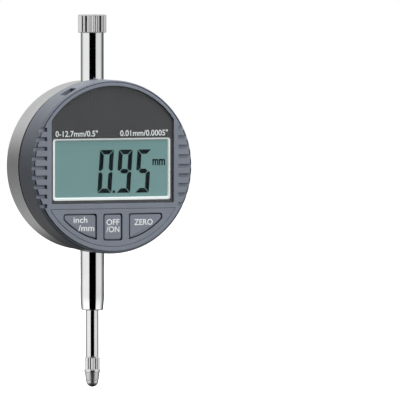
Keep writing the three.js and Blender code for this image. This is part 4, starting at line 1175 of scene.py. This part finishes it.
def makeReading():
    lean = math.tan(math.radians(reading["slant"]))
    front, back = (lcdLow.y - raised for raised in reading["raise"])
    bars = []
    for i, digit in enumerate(reading["digits"]):
        start = reading["left"] + i * reading["pitch"]
        for letter in litSegments[digit]:
            outline = [(start + x + z * lean, reading["bottom"] + z) for x, z in segmentOutline(letter)]
            bars.append(slab("bar", outline, front, back))
    middle, half, low = reading["point"], reading["pointSize"] / 2, reading["bottom"]
    bars.append(bar("point", middle - half, middle + half, front, back, low, low + reading["pointSize"]))
    piece = joined("lcd_reading", bars)
    dress(piece, "head", "mask_print", material=finishes["segment_ink"])
    unit, area = reading["unit"]
    lettering("lcd_unit", unit, area, lcdLow.y - 0.006, "head", "mask_print", "segment_ink", 0.03)


makeLens()
makeMask()
makeHolder()
makeLcd()
makeReading()
behindLens = lensHigh.y + 0.022
prints = [
    ("range_print", "0-12.7mm/0.5\"", (-20.4, -5.1, 10.25, 12.3)),
    ("step_print", "0.01mm/0.0005\"", (3.0, 20.3, 10.25, 12.3)),
]
for name, words, area in prints:
    lettering(name, words, area, behindLens, "head")
print("window and display")


# ---- keys
# words on each key and the area they fill
legends = [
    [("inch", (-14.2, -9.2, -18.5, -16.5)), ("/mm", (-12.5, -6.7, -21.3, -19.2))],
    [("OFF", (-2.3, 2.4, -19.4, -17.4)), ("/ON", (-2.3, 2.4, -21.8, -19.8))],
    [("ZERO", (7.8, 14.5, -19.5, -17.5))],
]


def makeKey(side):
    name = keyNames[side + 1]
    low, high = keyBoxes[side + 1]
    front = faceY + shell["frontWall"] + keyShape["flangeGap"]
    outline = [tuple(p) for p in keyOutline(side, -keyShape["gap"])]
    piece = slab(f"{name}_top", outline, low.y, front + 0.2, edge=keyShape["round"])
    flange = slab(f"{name}_flange", keyOutline(side, keyShape["flangeStep"]), front, front + keyShape["flange"])
    carve(piece, [flange], "UNION")
    x, z = middleOf(*box(name.replace("key", "dome")))[:2]
    carve(piece, [slab("plunger", disc(x, z, keyShape["plunger"], 24), front + 0.3, high.y)], "UNION")
    dress(piece, name, "key_plastic", name)
    for k, (words, area) in enumerate(legends[side + 1]):
        lettering(f"{name}_legend_{k + 1}", words, area, low.y, name)


for side in (-1, 0, 1):
    makeKey(side)
print("keys")


# ---- battery tray and data port
tray = {"half": 6.6, "floor": 0.6, "cellGap": 0.05, "nail": (6, 1.8, 1.4), "leafHalf": 0.95, "leafOverlap": 1}


def makeTray():
    low, high = box("battery_tray")
    cellLow, cellHigh = box("battery_cell")
    cellX, cellZ, cellRadius = middleOf(cellLow, cellHigh)
    circle = math.hypot(cellX, cellZ)
    half = tray["half"]
    rim = faceRadius + 1
    outline = [(half, rim), (-half, rim)]
    outline += [(half * u, circle + half * v) for u, v in arc(1, 270, 90, 32)]
    piece = swing(slab("tray_body", outline, low.y, high.y), shell["trayAngle"])
    front, back = low.y - 1, high.y + 1
    limit = turned("limit", [(0, front), (faceRadius, front), (faceRadius, back), (0, back)], axis="Y", sides=256)
    carve(piece, [limit], "INTERSECT")
    pocket = slab("pocket", disc(0, circle, cellRadius + tray["cellGap"], 64), low.y + tray["floor"], back)
    middle = (low.y + high.y) / 2
    long, wide, deep = tray["nail"]
    nail = bar("nail", -long / 2, long / 2, middle - wide / 2, middle + wide / 2, faceRadius - deep, rim)
    middle = (cellLow.y + cellHigh.y) / 2
    leafHalf = tray["leafHalf"]
    inner = tray["leafOverlap"] - cellRadius
    leaf = bar("leaf", -half - 1, inner, middle - leafHalf, middle + leafHalf, circle - half - 1, circle + 1)
    carve(piece, [swing(pocket, shell["trayAngle"])])
    carve(piece, [joined("cuts", [swing(nail, shell["trayAngle"]), swing(leaf, shell["trayAngle"])])])
    return dress(piece, "battery_tray", "shell_plastic", "battery_tray")


def makePortPins():
    # spring contacts in the floor of the port
    middle = faceY + port["middle"]
    floor = faceRadius - shell["wall"] - port["floorGap"] - port["pocket"]
    front = middle - port["length"] / 2 + port["pinStart"]
    back = middle + port["length"] / 2 - port["pinEnd"]
    half = port["pinWidth"] / 2
    pins = []
    for k in range(port["pins"]):
        x = (k - (port["pins"] - 1) / 2) * port["pinPitch"]
        pins.append(bar("pin", x - half, x + half, front, back, floor + 0.01, floor + port["pinHeight"]))
    piece = swing(joined("port_pins", pins), shell["portAngle"])
    shade(piece)
    return dress(piece, "head", "brass", material=finishes["gold_plate"])


makeTray()
makePortPins()
print("battery tray and data port")


# ---- floor, backdrop and light
def makeFloor():
    drop = cadLow.z / mm - studio["floorDrop"]
    bm = bmesh.new()
    rim = [bm.verts.new((x * studio["floorSize"], z * studio["floorSize"], drop)) for x, z in arc(1, 360, 5, 71)]
    bm.faces.new(rim)
    floor = makePiece("floor", bm)
    floor.data.transform(Matrix.Scale(mm, 4))
    paint = newFinish("palePaper")
    tooth = paint.noise(30.0, 2.0)
    paint.set(
        Base_Color=paint.ramp(tooth, [(0.3, (0.86, 0.86, 0.86)), (0.7, (0.88, 0.88, 0.88))]),
        Roughness=0.9,
        Emission_Color=(1, 1, 1),
        Emission_Strength=0.75,
    )
    floor.data.materials.append(paint.owner)
    floor.visible_diffuse = False
    floor.visible_glossy = False


lights = [
    {"name": "overhead", "place": (180, -300, 900), "size": 700, "power": 6.7},
    {"name": "rear", "place": (250, 1100, 500), "size": 700, "power": 7},
    {"name": "front", "place": (350, -1100, 300), "size": 800, "power": 8.1},
]


def makeLight(settings):
    lamp = bpy.data.lights.new(settings["name"], "AREA")
    lamp.shape = "DISK"
    lamp.size = settings["size"] * mm
    lamp.energy = settings["power"]
    light = bpy.data.objects.new(settings["name"], lamp)
    light.location = Vector(settings["place"]) * mm
    light.rotation_euler = (-(light.location - Vector((0, 0, faceZ * mm)))).to_track_quat("-Z", "Y").to_euler()
    light.visible_camera = False
    light.visible_glossy = False
    bpy.context.scene.collection.objects.link(light)


room = {
    # brightness of what shines in metal, by angle round from the camera
    "round": [
        (-180, 0.04), (-168, 0.08), (-156, 0.6), (-147, 0.46), (-138, 0.14), (-124, 0.2), (-112, 0.52), (-102, 0.82),
        (-92, 0.95), (-30, 0.95), (-27, 0.0), (36, 0.0), (40, 0.8), (84, 0.86), (95, 0.76), (106, 0.48), (118, 0.22),
        (134, 0.07), (180, 0.04),
    ],
    # and how that grows with height, from straight down to straight up
    "lift": [(-1, 0.05), (-0.75, 0.1), (-0.6, 0.35), (-0.45, 1.4), (-0.25, 1.45), (-0.1, 1.1), (0, 1.0), (1, 1.0)],
    "soft": [(-1, 0.03), (0, 0.08), (1, 0.6)],
    # a bright patch high up behind the tool, and the ceiling: how bright, and where they begin and are full
    "glow": 0.95, "glowHeight": (0.05, 0.27), "glowFacing": (-0.3, -0.6),
    "ceiling": 0.82, "ceilingHeight": (0.16, 0.44),
}


def makeWorld():
    # soft room: dark in front of and behind the face, bright to both sides and high up
    world = Finish(bpy.data.worlds.new("studio"))
    bpy.context.scene.world = world.owner
    turn = math.radians(studio["azimuth"])
    toCamera = (math.sin(turn), -math.cos(turn), 0)
    toRight = (math.cos(turn), math.sin(turn), 0)
    way = world.node("ShaderNodeTexCoord", {}, {}, "Generated")
    facing = world.dot(way, toCamera)
    beside = world.dot(way, toRight)
    height = world.node("ShaderNodeSeparateXYZ", {}, {"Vector": way}, "Z")
    angle = world.node("ShaderNodeMath", {"operation": "ARCTAN2"}, {0: beside, 1: facing}) / (2 * math.pi) + 0.5
    bands = world.ramp(angle, [(a / 360 + 0.5, (v, v, v)) for a, v in room["round"]])
    level = height * 0.5 + 0.5
    lift = world.ramp(level, [(z / 2 + 0.5, (v, v, v)) for z, v in room["lift"]])
    soft = world.ramp(level, [(z / 2 + 0.5, (v, v, v)) for z, v in room["soft"]])
    glow = world.rise(height, *room["glowHeight"]) * world.rise(facing, *room["glowFacing"]) * room["glow"]
    ceiling = world.rise(height, *room["ceilingHeight"]) * room["ceiling"]
    shine = world.mix(1.0, world.mix(1.0, bands, lift, "MULTIPLY"), glow, "LIGHTEN")
    shine = world.mix(1.0, shine, ceiling, "LIGHTEN")
    glossy = world.node("ShaderNodeLightPath", {}, {}, "Is Glossy Ray")
    seen = world.node("ShaderNodeLightPath", {}, {}, "Is Camera Ray")
    color = world.mix(seen, world.mix(glossy, soft, shine), (1, 1, 1))
    world.put(world.tree.nodes["Background"].inputs["Color"], color)


makeFloor()
for settings in lights:
    makeLight(settings)
makeWorld()
bpy.context.scene.view_settings.view_transform = "Standard"
print("studio")
